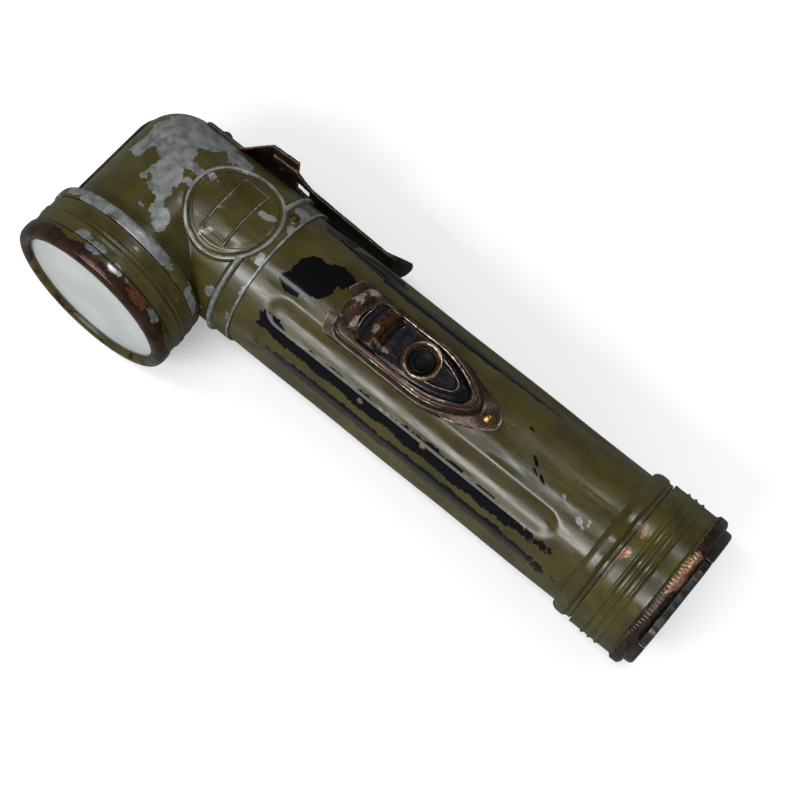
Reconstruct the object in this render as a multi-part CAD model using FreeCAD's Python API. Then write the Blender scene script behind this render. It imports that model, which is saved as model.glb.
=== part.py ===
import FreeCAD, Part
import math
import os

# Right-angle-head signal lamp for two D cells, lying on its side with the switch up.
# Millimetres. The bench frame has its origin where the tube axis crosses the lens axis: +X runs
# along the tube to the tail, -Y is the way the lens faces and +Z is the switch side. The last step
# moves every piece to the rest frame, whose origin is under the middle of the lamp, on the table.

V = FreeCAD.Vector
AXIS_X = V(1, 0, 0)
AXIS_LENS = V(0, -1, 0)
UP = V(0, 0, 1)

# Fits and clearances
FIT = 0.05              # radial gap of a pushed-together or turning fit
CLEAR = 0.3             # gap beside a piece that moves
FAR = 60.0              # reach of a cutting tool past the piece that it cuts
HALF_ROOT = math.sqrt(0.5)
QUARTERS = 4            # a coil is bent a quarter turn at a time

# Dry cells and what they bear on in the head
CELL_R = 16.6
CELL_LENGTH = 60.0
CELL_EDGE = 0.8
CELL_COUNT = 2
NUB_R = 2.8
NUB_LENGTH = 1.5
DISC_X = 14.1
DISC_THICK = 1.0
HEAD_CONTACT_R = 2.0
HEAD_CONTACT_RISE = 0.9
CELLS_X = DISC_X + DISC_THICK + HEAD_CONTACT_RISE + NUB_LENGTH
CELLS_END_X = CELLS_X + CELL_COUNT * CELL_LENGTH + (CELL_COUNT - 1) * NUB_LENGTH

# Battery spring and its cup in the tail cap
COIL_R = 9.5
COIL_WIRE_R = 0.6
COIL_TURNS = 4
COIL_LENGTH = 13.9
CUP_R = 14.5
CUP_THICK = 0.5
CUP_LIP = 3.0
CAP_FLOOR_X = CELLS_END_X + COIL_LENGTH + CUP_THICK

# Tube
CELL_ROOM = 0.8
TUBE_WALL = 0.6
FLUTE_DEPTH = 1.0
TUBE_R = CELL_R + CELL_ROOM + TUBE_WALL + FLUTE_DEPTH
TUBE_TAIL_GAP = 3.4
TUBE_TAIL_X = CAP_FLOOR_X - TUBE_TAIL_GAP
TUBE_CLOCK_DEG = 4.5    # the tube sits a little round from the head, towards the lens

# Head, two half shells that meet on the middle plane
HEAD_WALL = 0.5
HEAD_R = TUBE_R + FIT + HEAD_WALL
HEAD_TAIL_X = 31.0
TUBE_ENTRY = 7.5
TUBE_HEAD_X = HEAD_TAIL_X - TUBE_ENTRY
CORNER_R = 11.8
MEDALLION_X = 16.5
MEDALLION_R = 12.0
MEDALLION_BEAD = 1.2
MEDALLION_RISE = 0.5
CARTOUCHE_LENGTH = 17.4
CARTOUCHE_WIDTH = 7.8
CARTOUCHE_LINE = 0.6
CARTOUCHE_RISE = 0.2
COLLAR_BEAD_HALF = 1.1
COLLAR_BEAD_RISE = 0.9
COLLAR_BEAD_INSET = 5.8
COLLAR_BEAD_X = HEAD_TAIL_X - COLLAR_BEAD_INSET
SEAM_RISE = 0.4
SEAM_FLANGE = 1.0       # the seam stands out further on the side away from the tube
SEAM_WIDTH = 1.8
RIVET_HEAD_R = 1.5
RIVET_HEAD_RISE = 0.7
RIVET_SHANK_R = 0.8
COLLAR_RIVET_INSET = 2.9
COLLAR_RIVET_X = HEAD_TAIL_X - COLLAR_RIVET_INSET
COLLAR_RIVET_DEG = (-26.0, 154.0)

# Flutes of the tube
FLUTE_CURVE_R = 9.4
FLUTE_HEAD_GAP = 11.0
FLUTE_HEAD_X = HEAD_TAIL_X + FLUTE_HEAD_GAP
FLUTE_TAIL_GAP = 29.4
FLUTE_TAIL_X = TUBE_TAIL_X - FLUTE_TAIL_GAP
FLUTE_FIRST_DEG = 34.5
FLUTE_STEP_DEG = 45.0
FLUTE_COUNT = 7

# Neck collar, distances measured along the lens axis from the tube axis
COLLAR_STAND_OFF = 0.25
COLLAR_BACK = HEAD_R + COLLAR_STAND_OFF
COLLAR_WALL = 1.7
SHOULDER_LENGTH = 2.9
SHOULDER_RISE = 1.8
SHOULDER_FRONT = COLLAR_BACK + SHOULDER_LENGTH
THREAD_R = HEAD_R + FIT + COLLAR_WALL
SHOULDER_R = THREAD_R + SHOULDER_RISE
THREAD_RISE = 0.4
THREAD_PITCH = 2.0
THREAD_RIBS = 3
THREAD_START = 1.2
COLLAR_LENGTH = 11.5
COLLAR_FRONT = COLLAR_BACK + COLLAR_LENGTH
NECK_ENTRY = 4.2
NECK_END = COLLAR_BACK + NECK_ENTRY

# Lens, and the ring that holds it
FLANGE_THICK = 0.5
GASKET_THICK = 0.5
LENS_THICK = 1.8
LENS_LIP = 1.1
LENS_CHAMFER = 0.3
RING_WALL = 0.9
RING_BACK = SHOULDER_FRONT + CLEAR
RING_THREAD_ROOM = 0.4
RING_BORE_R = THREAD_R + THREAD_RISE + RING_THREAD_ROOM
RING_BAND_R = RING_BORE_R + RING_WALL
RING_BAND_LENGTH = 7.9
RING_BEAD_X = 2.9
RING_BEAD_STEP = 1.4
RING_BEAD_LENGTH = 1.2
RING_BEAD_RISE = 0.35
RING_BEAD_R = RING_BAND_R + RING_BEAD_RISE
RING_RIM_RISE = 0.6
RING_RIM_R = RING_BAND_R + RING_RIM_RISE
RING_RIM_LENGTH = 1.75
RING_LIP_ROLL = 1.0
LENS_ROOM = 1.2
LENS_R = RING_BORE_R - LENS_ROOM
LENS_OPENING_R = LENS_R - LENS_LIP
LENS_BACK = COLLAR_FRONT + FLANGE_THICK + GASKET_THICK
RING_LIP_BACK = LENS_BACK + LENS_THICK + FIT
RING_FRONT = RING_LIP_BACK + RING_RIM_LENGTH
RING_LAND_INSET = 1.6
RING_LAND_OUTER_R = RING_RIM_R - RING_LAND_INSET
RING_LAND_WIDTH = 0.6
RING_LAND_INNER_R = RING_LAND_OUTER_R - RING_LAND_WIDTH

# Reflector
REFLECTOR_FOCUS = 5.5
REFLECTOR_INSET = 1.0
REFLECTOR_MOUTH_R = LENS_OPENING_R - REFLECTOR_INSET
REFLECTOR_WALL = 0.4
REFLECTOR_HOLE_R = 5.8
REFLECTOR_ROWS = 6
REFLECTOR_VERTEX = COLLAR_FRONT + FLANGE_THICK - REFLECTOR_MOUTH_R ** 2 / (4 * REFLECTOR_FOCUS)

# Bulb and its socket; the filament stands at the reflector's focus
FILAMENT_HEIGHT = 5.8
FILAMENT_GAP = 1.5
FILAMENT_LEAD_R = 0.2
FILAMENT_BAR_R = 0.1
BULB_R = 5.0
BULB_GLASS = 0.5
BULB_HEIGHT = 9.4
BULB_BASE_R = 4.6
BULB_BASE_EDGE = 0.6
BULB_BASE_LENGTH = 9.6
BULB_FLANGE_R = 5.4
BULB_FLANGE_THICK = 0.6
BULB_FLANGE_FRONT = REFLECTOR_VERTEX + REFLECTOR_FOCUS - FILAMENT_HEIGHT
BULB_BACK = BULB_FLANGE_FRONT - BULB_BASE_LENGTH
BULB_TIP = BULB_FLANGE_FRONT + BULB_HEIGHT
BULB_CONTACT_R = 1.5
BULB_CONTACT_LENGTH = 0.8
SOCKET_WALL = 0.5
SOCKET_PLATE_REACH = 5.0
SOCKET_PLATE_AT = BULB_BACK + SOCKET_PLATE_REACH
SOCKET_PLATE_THICK = 0.6
STRIP_THICK = 0.4
STRIP_WIDTH = 5.0

# Tail ferrule
FERRULE_LENGTH = 16.0
FERRULE_WALL = 0.6
FERRULE_BEAD_LENGTH = 4.3
FERRULE_GROOVE_LENGTH = 1.1
FERRULE_HEAD_X = TUBE_TAIL_X - FERRULE_LENGTH
FERRULE_BEAD_END_X = FERRULE_HEAD_X + FERRULE_BEAD_LENGTH
FERRULE_LIP_X = FERRULE_BEAD_END_X + FERRULE_GROOVE_LENGTH
TAIL_THREAD_R = TUBE_R + FIT + FERRULE_WALL
FERRULE_GROOVE_RISE = 0.5
FERRULE_GROOVE_R = TAIL_THREAD_R + FERRULE_GROOVE_RISE
FERRULE_BEAD_RISE = 1.05
FERRULE_BEAD_R = TAIL_THREAD_R + FERRULE_BEAD_RISE
TAIL_THREAD_START = 1.5
TAIL_THREAD_RISE = 0.2
TAIL_PITCH = 2.06
TAIL_RIBS = 3

# Tail cap and its end plate
CAP_HEAD_GAP = 0.35
CAP_HEAD_X = FERRULE_LIP_X + CAP_HEAD_GAP
CAP_WALL = 0.5
CAP_THREAD_ROOM = 0.35
CAP_BORE_R = TAIL_THREAD_R + TAIL_THREAD_RISE + CAP_THREAD_ROOM
CAP_R = CAP_BORE_R + CAP_WALL
CAP_SKIRT = 3.85
CAP_RIB_X = CAP_HEAD_X + CAP_SKIRT
CAP_RIB_RISE = 0.35
CAP_RIB_HALF = 0.6
CAP_RIM_LENGTH = 3.1
CAP_RIM_RISE = 0.8
CAP_RIM_R = CAP_R + CAP_RIM_RISE
CAP_FLOOR_THICK = 1.6
CAP_PLATE_RECESS = 0.5
PLATE_SEAT_X = CAP_FLOOR_X + CAP_FLOOR_THICK
CAP_END_X = PLATE_SEAT_X + CAP_PLATE_RECESS
CAP_RIM_X = CAP_END_X - CAP_RIM_LENGTH
CAP_RIM_LAND = 1.8
PLATE_BORE_R = CAP_RIM_R - CAP_RIM_LAND
PLATE_WEB = 0.7
PLATE_EDGE = 1.1
CHANNEL_FLOOR_X = PLATE_SEAT_X + PLATE_WEB

# Hanger ring, folded flat in the end plate's channel
HANGER_CLOCK_DEG = 26.0
HANGER_HALF = 12.2
HANGER_BAND = 4.6
HANGER_THICK = 2.0
HANGER_OVERHANG = 0.7
HANGER_REACH = PLATE_BORE_R + HANGER_OVERHANG
HANGER_PIVOT = 10.5
HANGER_CORNER_R = 5.0
HANGER_INNER_CORNER_R = 2.0
HANGER_PIN_R = 0.6
HANGER_PIN_ENTRY = 2.3
HANGER_PIN_HALF = HANGER_HALF + HANGER_PIN_ENTRY
HANGER_BACK_X = CHANNEL_FLOOR_X + FIT
HANGER_PIVOT_X = HANGER_BACK_X + HANGER_THICK / 2
END_PLATE_X = HANGER_BACK_X + HANGER_THICK + FIT

# Switch, all along the tube's own top line; BUTTON_X is the button's place in the off position
BUTTON_X = 76.0
PLATE_HEAD_REACH = 24.8
PLATE_HEAD_X = BUTTON_X - PLATE_HEAD_REACH
PLATE_BOW = 1.4
PLATE_HALF = 8.3
PLATE_TAPER_REACH = 1.0
PLATE_TAPER_X = BUTTON_X + PLATE_TAPER_REACH
PLATE_TIP_REACH = 23.6
PLATE_TIP_X = BUTTON_X + PLATE_TIP_REACH
PLATE_THICK = 0.5
PLATE_CORNER_R = 0.9
PLATE_TIP_R = 3.0
EAR_NOTCH_HALF = 3.4
EAR_NOTCH_DEPTH = 1.7
EAR_NOTCH_X = PLATE_HEAD_X + EAR_NOTCH_DEPTH
HOUSING_HEAD_INSET = 2.7
HOUSING_HEAD_X = PLATE_HEAD_X + HOUSING_HEAD_INSET
HOUSING_BOW = 1.0
HOUSING_HALF = 7.3
HOUSING_TAPER_REACH = 2.0
HOUSING_TAPER_X = BUTTON_X + HOUSING_TAPER_REACH
HOUSING_TIP_INSET = 6.2
HOUSING_TIP_X = PLATE_TIP_X - HOUSING_TIP_INSET
HOUSING_CORNER_R = 3.0
HOUSING_TIP_R = 3.0
HOUSING_WALL = 0.6
HOUSING_RISE = 2.7
HOUSING_TOP = TUBE_R + HOUSING_RISE
SLOT_HEAD_INSET = 5.0
SLOT_HEAD_X = HOUSING_HEAD_X + SLOT_HEAD_INSET
SLOT_BOW = 1.2
SLOT_EDGE = 1.5
SLOT_HALF = HOUSING_HALF - SLOT_EDGE
SLOT_TAPER_X = BUTTON_X
SLOT_TIP_INSET = 2.8
SLOT_TIP_X = HOUSING_TIP_X - SLOT_TIP_INSET
SLOT_CORNER_R = 2.2
SLOT_TIP_R = 2.4
SLIDER_TRAVEL = 2.4
SLIDER_SINK = 0.4
SLIDER_LEVEL = HOUSING_TOP - SLIDER_SINK
SLIDER_BOTTOM = TUBE_R + CLEAR
SLIDER_FLOOR = 0.6
SLIDER_FLANGE = 0.5
RIDGE_RISE = 0.3
RIDGE_TOP = HOUSING_TOP + RIDGE_RISE
ARC_RIDGE_WIDTH = 0.8
TAIL_RIDGE_WIDTH = 1.0
TAIL_RIDGE_INSET = 0.5
THUMB_INSET = 2.7
THUMB_X = SLOT_HEAD_X + THUMB_INSET
THUMB_WIDTH = 4.1
THUMB_RISE = 1.2
THUMB_TOP = HOUSING_TOP + THUMB_RISE
THUMB_CURVE_R = 3.0
GUARD_BORE_R = 3.4
GUARD_WALL = 1.75
GUARD_R = GUARD_BORE_R + GUARD_WALL
GUARD_RISE = 1.3
GUARD_TOP = HOUSING_TOP + GUARD_RISE
BUTTON_R = GUARD_BORE_R - CLEAR
BUTTON_SINK = 0.9
BUTTON_TOP = GUARD_TOP - BUTTON_SINK
BUTTON_THICK = 0.8
BUTTON_UNDER = BUTTON_TOP - BUTTON_THICK
BUTTON_TRAVEL = 1.1
BUTTON_EDGE = 0.25
BUTTON_LAND = 0.5
BUTTON_DISH_DEPTH = 0.56
STEM_R = 0.9
STEM_EDGE = 0.2
SPRING_R = 2.1
SPRING_WIRE_R = 0.16
SPRING_TURNS = 2

# Contact leaf, its insulating strip and the rivet behind the switch
PLATE_RIVET_INSET = 3.3
PLATE_RIVET_X = PLATE_TIP_X - PLATE_RIVET_INSET
INSULATOR_HALF = 4.0
INSULATOR_THICK = 0.35
INSULATOR_TOP = CELL_R + FIT + INSULATOR_THICK
INSULATOR_REACH = 11.0
INSULATOR_HEAD_X = BUTTON_X - INSULATOR_REACH
CONTACT_HALF = 2.5
CONTACT_THICK = 0.25
CONTACT_TOP = INSULATOR_TOP + CONTACT_THICK
CONTACT_REACH = 8.0
CONTACT_HEAD_X = BUTTON_X - CONTACT_REACH
CONTACT_TAIL = 2.2
CONTACT_TAIL_X = PLATE_RIVET_X + CONTACT_TAIL
STEM_BOTTOM = CONTACT_TOP + BUTTON_TRAVEL + FIT
APERTURE_HEAD_REACH = 4.0
APERTURE_HEAD_X = BUTTON_X - APERTURE_HEAD_REACH
APERTURE_TAIL_REACH = 8.0
APERTURE_TAIL_X = BUTTON_X + APERTURE_TAIL_REACH
APERTURE_HALF = 2.6
SPACER_R = 2.0

# Belt clip's bracket on the back of the head
CLIP_HALF = 11.2
CLIP_SHEET = 0.8
CLIP_INNER_R = HEAD_R + FIT
CLIP_OUTER_R = CLIP_INNER_R + CLIP_SHEET
CLIP_FOOT_X = -7.0
CLIP_FOOT_DEG = 34.0
CLIP_FOOT_LENGTH = 11.0
CLIP_RISE_X = CLIP_FOOT_X + CLIP_FOOT_LENGTH
CLIP_RAMP_LENGTH = 5.4
CLIP_PLATFORM_X = CLIP_RISE_X + CLIP_RAMP_LENGTH
CLIP_PLATFORM_LENGTH = 8.2
CLIP_PLATFORM_END_X = CLIP_PLATFORM_X + CLIP_PLATFORM_LENGTH
CLIP_PLATFORM_STAND_OFF = 2.85
CLIP_PLATFORM_Y = HEAD_R + CLIP_PLATFORM_STAND_OFF
CLIP_PLATFORM_RISE = 0.5
CLIP_RIVET_INSET = 4.4
CLIP_RIVET_X = CLIP_FOOT_X + CLIP_RIVET_INSET
CLIP_RIVET_DEG = 17.0

# Sprung strap of the belt clip
STRAP_SHEET = 0.9
STRAP_HALF = 6.7
STRAP_SHOULDER_HALF = 9.6
STRAP_ROOT_INSET = 1.2
STRAP_ROOT_X = CLIP_PLATFORM_X + STRAP_ROOT_INSET
STRAP_ROOT_Y = CLIP_PLATFORM_Y - CLEAR - STRAP_SHEET
STRAP_STEP_INSET = 0.6
STRAP_STEP_X = CLIP_PLATFORM_END_X - STRAP_STEP_INSET
STRAP_STEP_RISE = 0.25
STRAP_STEP_LENGTH = 5.6
STRAP_STEP_END_X = STRAP_STEP_X + STRAP_STEP_LENGTH
STRAP_SHOULDER_LENGTH = 8.0
STRAP_NARROW_X = STRAP_STEP_X + STRAP_SHOULDER_LENGTH
STRAP_STAND_OFF = 1.65
STRAP_Y = TUBE_R + STRAP_STAND_OFF
STRAP_SAG = 0.3
STRAP_LENGTH = 31.6
STRAP_STRAIGHT_X = STRAP_STEP_X + STRAP_LENGTH
STRAP_TIP_LENGTH = 5.8
STRAP_TIP_X = STRAP_STRAIGHT_X + STRAP_TIP_LENGTH
STRAP_TIP_RISE = 3.3
STRAP_TIP_CORNER = 5.2
STRAP_TIP_TAPER = 0.4
STRAP_RIVET_INSET = 2.0
STRAP_RIVET_X = STRAP_ROOT_X + STRAP_RIVET_INSET
STRAP_RIVET_AT_Z = 2.6
WINDOW_INSET = 1.2
WINDOW_HEAD_X = STRAP_STEP_X + WINDOW_INSET
WINDOW_LENGTH = 4.6
WINDOW_HALF = 1.9
WINDOW_AT_Z = 3.3
SMALL_WINDOW_INSET = 1.8
SMALL_WINDOW_X = STRAP_ROOT_X + SMALL_WINDOW_INSET
SMALL_WINDOW_LENGTH = 2.0
SMALL_WINDOW_HALF = 1.0
SMALL_WINDOW_AT_Z = 6.0


def face_from(steps, place):
    """A flat face: (a, b) is a straight run to there, (a1, b1, a, b) is an arc through a1, b1."""
    start = place(*steps[0])
    here = start
    edges = []
    for step in steps[1:]:
        there = place(*step[-2:])
        if len(step) == 2:
            edges.append(Part.LineSegment(here, there).toShape())
        else:
            edges.append(Part.Arc(here, place(*step[:2]), there).toShape())
        here = there
    if (here - start).Length > 1e-7:
        edges.append(Part.LineSegment(here, start).toShape())
    return Part.Face(Part.Wire(edges))


def outward(solid):
    """The same solid with its faces turned outward."""
    if solid.Volume < 0:
        solid.reverse()
    return solid


def turned_x(steps):
    """A piece turned about the tube axis from steps of (x, radius)."""
    face = face_from(steps, lambda x, r: V(x, 0, r))
    return outward(face.revolve(V(0, 0, 0), AXIS_X, 360))


def turned_lens(steps):
    """A piece turned about the lens axis from steps of (distance to the front, radius)."""
    face = face_from(steps, lambda d, r: V(0, -d, r))
    return outward(face.revolve(V(0, 0, 0), AXIS_LENS, 360))


def turned_up(steps, x):
    """A piece turned about the upright line through x from steps of (radius, height)."""
    face = face_from(steps, lambda r, z: V(x + r, 0, z))
    return outward(face.revolve(V(x, 0, 0), UP, 360))


def prism(steps, bottom, top):
    """A plan outline of (x, y) steps, drawn up from bottom to top."""
    face = face_from(steps, lambda x, y: V(x, y, bottom))
    return outward(face.extrude(V(0, 0, top - bottom)))


def rod_x(radius, start, end):
    """A round bar along the tube axis."""
    return Part.makeCylinder(radius, end - start, V(start, 0, 0), AXIS_X)


def sleeve_x(inner, outer, start, end):
    """A plain tube along the tube axis."""
    return rod_x(outer, start, end).cut(rod_x(inner, start - 1, end + 1))


def box_between(low, high):
    """A block from its lowest to its highest corner."""
    return Part.makeBox(high[0] - low[0], high[1] - low[1], high[2] - low[2], V(*low))


def round_about(angle_deg, radius, x=0.0):
    """The point at an angle round the tube, measured from the top towards the lens."""
    angle = math.radians(angle_deg)
    return V(x, -radius * math.sin(angle), radius * math.cos(angle))


def bead(start, end, foot, top):
    """Profile steps of a rolled bead from start to end that rises from foot to top."""
    return [(start, foot), ((start + end) / 2, top, end, foot)]


def crown(edge_r, edge_z, crown_z):
    """Profile step of a spherical crown or dish, from its edge to its middle on the axis."""
    rise = crown_z - edge_z
    radius = (edge_r ** 2 + rise ** 2) / (2 * rise)
    half_turn = math.asin(edge_r / abs(radius)) / 2
    middle_z = crown_z - radius * (1 - math.cos(half_turn))
    return (abs(radius) * math.sin(half_turn), middle_z, 0, crown_z)


def rivet(point, direction, depth):
    """A domed rivet whose head bears at point and whose shank runs depth the other way."""
    steps = [
        (0, -depth),
        (RIVET_SHANK_R, -depth),
        (RIVET_SHANK_R, 0),
        (RIVET_HEAD_R, 0),
        crown(RIVET_HEAD_R, 0, RIVET_HEAD_RISE),
    ]
    piece = turned_up(steps, 0)
    piece.Placement = FreeCAD.Placement(point, FreeCAD.Rotation(UP, direction))
    return piece


def rivet_hole(point, direction, depth):
    """The hole that the same rivet's shank fills."""
    start = point - direction * depth
    return Part.makeCylinder(RIVET_SHANK_R, 2 * depth, start, direction)


def coil_spring(radius, wire, turns, length):
    """An open coil spring that stands on its first end, from z 0 to its length."""
    pitch = (length - 2 * wire) / turns
    helix = Part.makeHelix(pitch, pitch / QUARTERS, radius)
    circle = Part.Wire(Part.Circle(V(radius, 0, 0), V(0, 1, 0), wire).toShape())
    bend = Part.Wire(helix.Edges).makePipeShell([circle], True, True)
    bends = []
    for number in range(QUARTERS * turns):
        piece = bend.copy()
        piece.rotate(V(0, 0, 0), UP, 360 / QUARTERS * number)
        piece.translate(V(0, 0, wire + pitch / QUARTERS * number))
        bends.append(piece)
    return outward(bends[0].fuse(bends[1:]).Solids[0])


# ---------------------------------------------------------------- head

def elbow(radius, tube_end, neck_end):
    """A solid right-angle bend with a sharp inner crease and a rounded outer corner."""
    inset = HEAD_R - CORNER_R
    reach = 2 * HEAD_R
    tube_run = rod_x(radius, 0, tube_end)
    neck_run = Part.makeCylinder(radius, neck_end, V(0, 0, 0), AXIS_LENS)
    across = Part.makeCylinder(radius, 2 * reach, V(0, reach, 0), AXIS_LENS)
    crossing = rod_x(radius, -reach, reach).common(across)
    height = math.sqrt(radius ** 2 - inset ** 2)
    rounding = face_from(
        [(0, -height), (radius - inset, 0, 0, height)],
        lambda r, z: V(r - inset, inset, z),
    )
    rounding = outward(rounding.revolve(V(-inset, inset, 0), UP, 360))
    corner = box_between((-reach, inset, -reach), (-inset, reach, reach)).cut(rounding)
    return tube_run.fuse([neck_run, crossing.cut(corner)]).removeSplitter()


def head_seam():
    """The crimped strip that follows the outside of the elbow on the middle plane."""
    inset = HEAD_R - CORNER_R
    outer = HEAD_R + SEAM_RISE
    flange = HEAD_R + SEAM_FLANGE
    corner = (flange + outer) / 2 - inset
    steps = [
        (HEAD_TAIL_X, HEAD_R),
        (HEAD_TAIL_X, outer),
        (-inset, outer),
        (-inset - corner * HALF_ROOT, inset + corner * HALF_ROOT, -flange, inset),
        (-flange, CLEAR - COLLAR_BACK),
        (-HEAD_R, CLEAR - COLLAR_BACK),
        (-HEAD_R, inset),
        (-inset - CORNER_R * HALF_ROOT, inset + CORNER_R * HALF_ROOT, -inset, HEAD_R),
    ]
    return prism(steps, -SEAM_WIDTH / 2, SEAM_WIDTH / 2).cut(collar_bead())


def raised_on_head(plan, rise):
    """The raised part of a plan shape on the top of the head's tube run."""
    foot = rod_x(HEAD_R - HEAD_WALL / 2, -FAR, FAR)
    return plan.common(rod_x(HEAD_R + rise, -FAR, FAR)).cut(foot)


def disc_plan(radius):
    """A round upright cutter over the medallion."""
    return Part.makeCylinder(radius, FAR, V(MEDALLION_X, 0, 0), UP)


def frame_plan(length, width):
    """A rectangular upright cutter over the medallion, with its long side across the tube."""
    low = (MEDALLION_X - width / 2, -length / 2, 0)
    return box_between(low, (MEDALLION_X + width / 2, length / 2, FAR))


def collar_bead():
    """The raised bead round the head's collar."""
    start = COLLAR_BEAD_X - COLLAR_BEAD_HALF
    end = COLLAR_BEAD_X + COLLAR_BEAD_HALF
    low = HEAD_R - HEAD_WALL / 2
    rounding = bead(start, end, HEAD_R, HEAD_R + COLLAR_BEAD_RISE)
    return turned_x([(start, low)] + rounding + [(end, low)])


def head_shells():
    """The two half shells of the elbow, with the medallion, cartouche and collar bead."""
    shell = elbow(HEAD_R, HEAD_TAIL_X, NECK_END)
    shell = shell.cut(elbow(HEAD_R - HEAD_WALL, HEAD_TAIL_X + 1, NECK_END + 1))
    outer = MEDALLION_R + MEDALLION_BEAD / 2
    inner = MEDALLION_R - MEDALLION_BEAD / 2
    medallion = raised_on_head(disc_plan(outer).cut(disc_plan(inner)), MEDALLION_RISE)
    line = 2 * CARTOUCHE_LINE
    frame = frame_plan(CARTOUCHE_LENGTH, CARTOUCHE_WIDTH)
    frame = frame.cut(frame_plan(CARTOUCHE_LENGTH - line, CARTOUCHE_WIDTH - line))
    cartouche = raised_on_head(frame, CARTOUCHE_RISE)
    collar = collar_bead().cut(disc_plan(MEDALLION_R))
    shell = shell.fuse([medallion, cartouche, collar]).cut(collar_rivet_holes())
    shell = shell.cut(clip_rivet_holes())
    upper = shell.common(box_between((-FAR, -FAR, 0), (FAR, FAR, FAR)))
    lower = shell.common(box_between((-FAR, -FAR, -FAR), (FAR, FAR, 0)))
    return upper, lower


def collar_rivet_places():
    """Each collar rivet's seat and its outward direction."""
    places = []
    for angle in COLLAR_RIVET_DEG:
        places.append((round_about(angle, HEAD_R, COLLAR_RIVET_X), round_about(angle, 1)))
    return places


def collar_rivet_depth():
    """How far a collar rivet reaches in: through the head wall and the tube wall."""
    return HEAD_WALL + FIT + TUBE_WALL


def collar_rivets():
    """The rivets that fasten the head's collar to the tube."""
    pieces = [rivet(p, d, collar_rivet_depth()) for p, d in collar_rivet_places()]
    return Part.makeCompound(pieces)


def collar_rivet_holes():
    """The holes for the collar rivets."""
    holes = [rivet_hole(p, d, collar_rivet_depth() + 1) for p, d in collar_rivet_places()]
    return Part.makeCompound(holes)


# ---------------------------------------------------------------- lens end

def neck_collar():
    """The shouldered and threaded ring on the neck that carries the lens ring."""
    steps = [
        (COLLAR_BACK, HEAD_R + FIT),
        (COLLAR_BACK, HEAD_R + 1.2),
        (COLLAR_BACK + 0.3, SHOULDER_R - 0.7, COLLAR_BACK + 1.3, SHOULDER_R),
        (SHOULDER_FRONT - 0.3, SHOULDER_R),
        (SHOULDER_FRONT, SHOULDER_R - 0.3),
        (SHOULDER_FRONT, THREAD_R),
    ]
    for rib in range(THREAD_RIBS):
        start = SHOULDER_FRONT + THREAD_START + rib * THREAD_PITCH
        steps += bead(start, start + THREAD_PITCH / 2, THREAD_R, THREAD_R + THREAD_RISE)
    steps += [(COLLAR_FRONT, THREAD_R), (COLLAR_FRONT, HEAD_R + FIT)]
    return turned_lens(steps)


def lens_ring():
    """The screwed ring that holds the lens, with two thread beads and a rolled front rim."""
    steps = [
        (RING_BACK, RING_BORE_R),
        (RING_BACK, RING_BAND_R - 0.25),
        (RING_BACK + 0.25, RING_BAND_R),
    ]
    for rib in range(2):
        start = RING_BACK + RING_BEAD_X + rib * RING_BEAD_STEP
        steps += bead(start, start + RING_BEAD_LENGTH, RING_BAND_R - 0.15, RING_BEAD_R)
    band_end = RING_BACK + RING_BAND_LENGTH
    steps += [
        (start + RING_BEAD_LENGTH + 0.3, RING_BAND_R),
        (band_end, RING_BAND_R),
        (band_end + 0.4, RING_RIM_R - 0.25),
        (RING_FRONT - 3.6, RING_RIM_R - 0.04, RING_FRONT - 2.6, RING_RIM_R),
        (RING_FRONT - 0.7, RING_RIM_R - 0.6, RING_FRONT, RING_LAND_OUTER_R),
        (RING_FRONT, RING_LAND_INNER_R),
        (RING_FRONT - 0.3, LENS_OPENING_R + 0.5, RING_FRONT - RING_LIP_ROLL, LENS_OPENING_R),
        (RING_LIP_BACK + 0.3, LENS_OPENING_R),
        (RING_LIP_BACK, LENS_OPENING_R + 0.3),
        (RING_LIP_BACK, LENS_R + CLEAR),
        (RING_LIP_BACK - 1.0, RING_BORE_R),
    ]
    return turned_lens(steps)


def lens_glass():
    """The flat lens with its edge chamfered."""
    front = LENS_BACK + LENS_THICK
    steps = [
        (LENS_BACK, 0),
        (LENS_BACK, LENS_R),
        (front - LENS_CHAMFER, LENS_R),
        (front, LENS_R - LENS_CHAMFER),
        (front, 0),
    ]
    return turned_lens(steps)


def lens_gasket():
    """The flat ring between the reflector's flange and the lens."""
    back = COLLAR_FRONT + FLANGE_THICK
    inner = REFLECTOR_MOUTH_R + CLEAR
    return turned_lens(
        [(back, inner), (back, LENS_R), (back + GASKET_THICK, LENS_R), (back + GASKET_THICK, inner)]
    )


def reflector_depth(radius):
    """Distance of the reflector's inner face at a radius, along the lens axis."""
    return REFLECTOR_VERTEX + radius ** 2 / (4 * REFLECTOR_FOCUS)


def reflector():
    """The parabolic bowl, with a flange that bears on the neck collar's front."""
    face = COLLAR_FRONT + FLANGE_THICK
    step = (REFLECTOR_MOUTH_R - REFLECTOR_HOLE_R) / (2 * REFLECTOR_ROWS)
    steps = [(face, THREAD_R), (face, REFLECTOR_MOUTH_R)]
    radius = REFLECTOR_MOUTH_R
    for _ in range(REFLECTOR_ROWS):
        mid = radius - step
        end = radius - 2 * step
        steps.append((reflector_depth(mid), mid, reflector_depth(end), end))
        radius = end
    steps.append((reflector_depth(radius) - REFLECTOR_WALL, radius))
    for _ in range(REFLECTOR_ROWS):
        mid = radius + step
        end = radius + 2 * step
        steps.append(
            (reflector_depth(mid) - REFLECTOR_WALL, mid, reflector_depth(end) - REFLECTOR_WALL, end)
        )
        radius = end
    steps += [(COLLAR_FRONT, radius + REFLECTOR_WALL), (COLLAR_FRONT, THREAD_R)]
    return turned_lens(steps)


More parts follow.
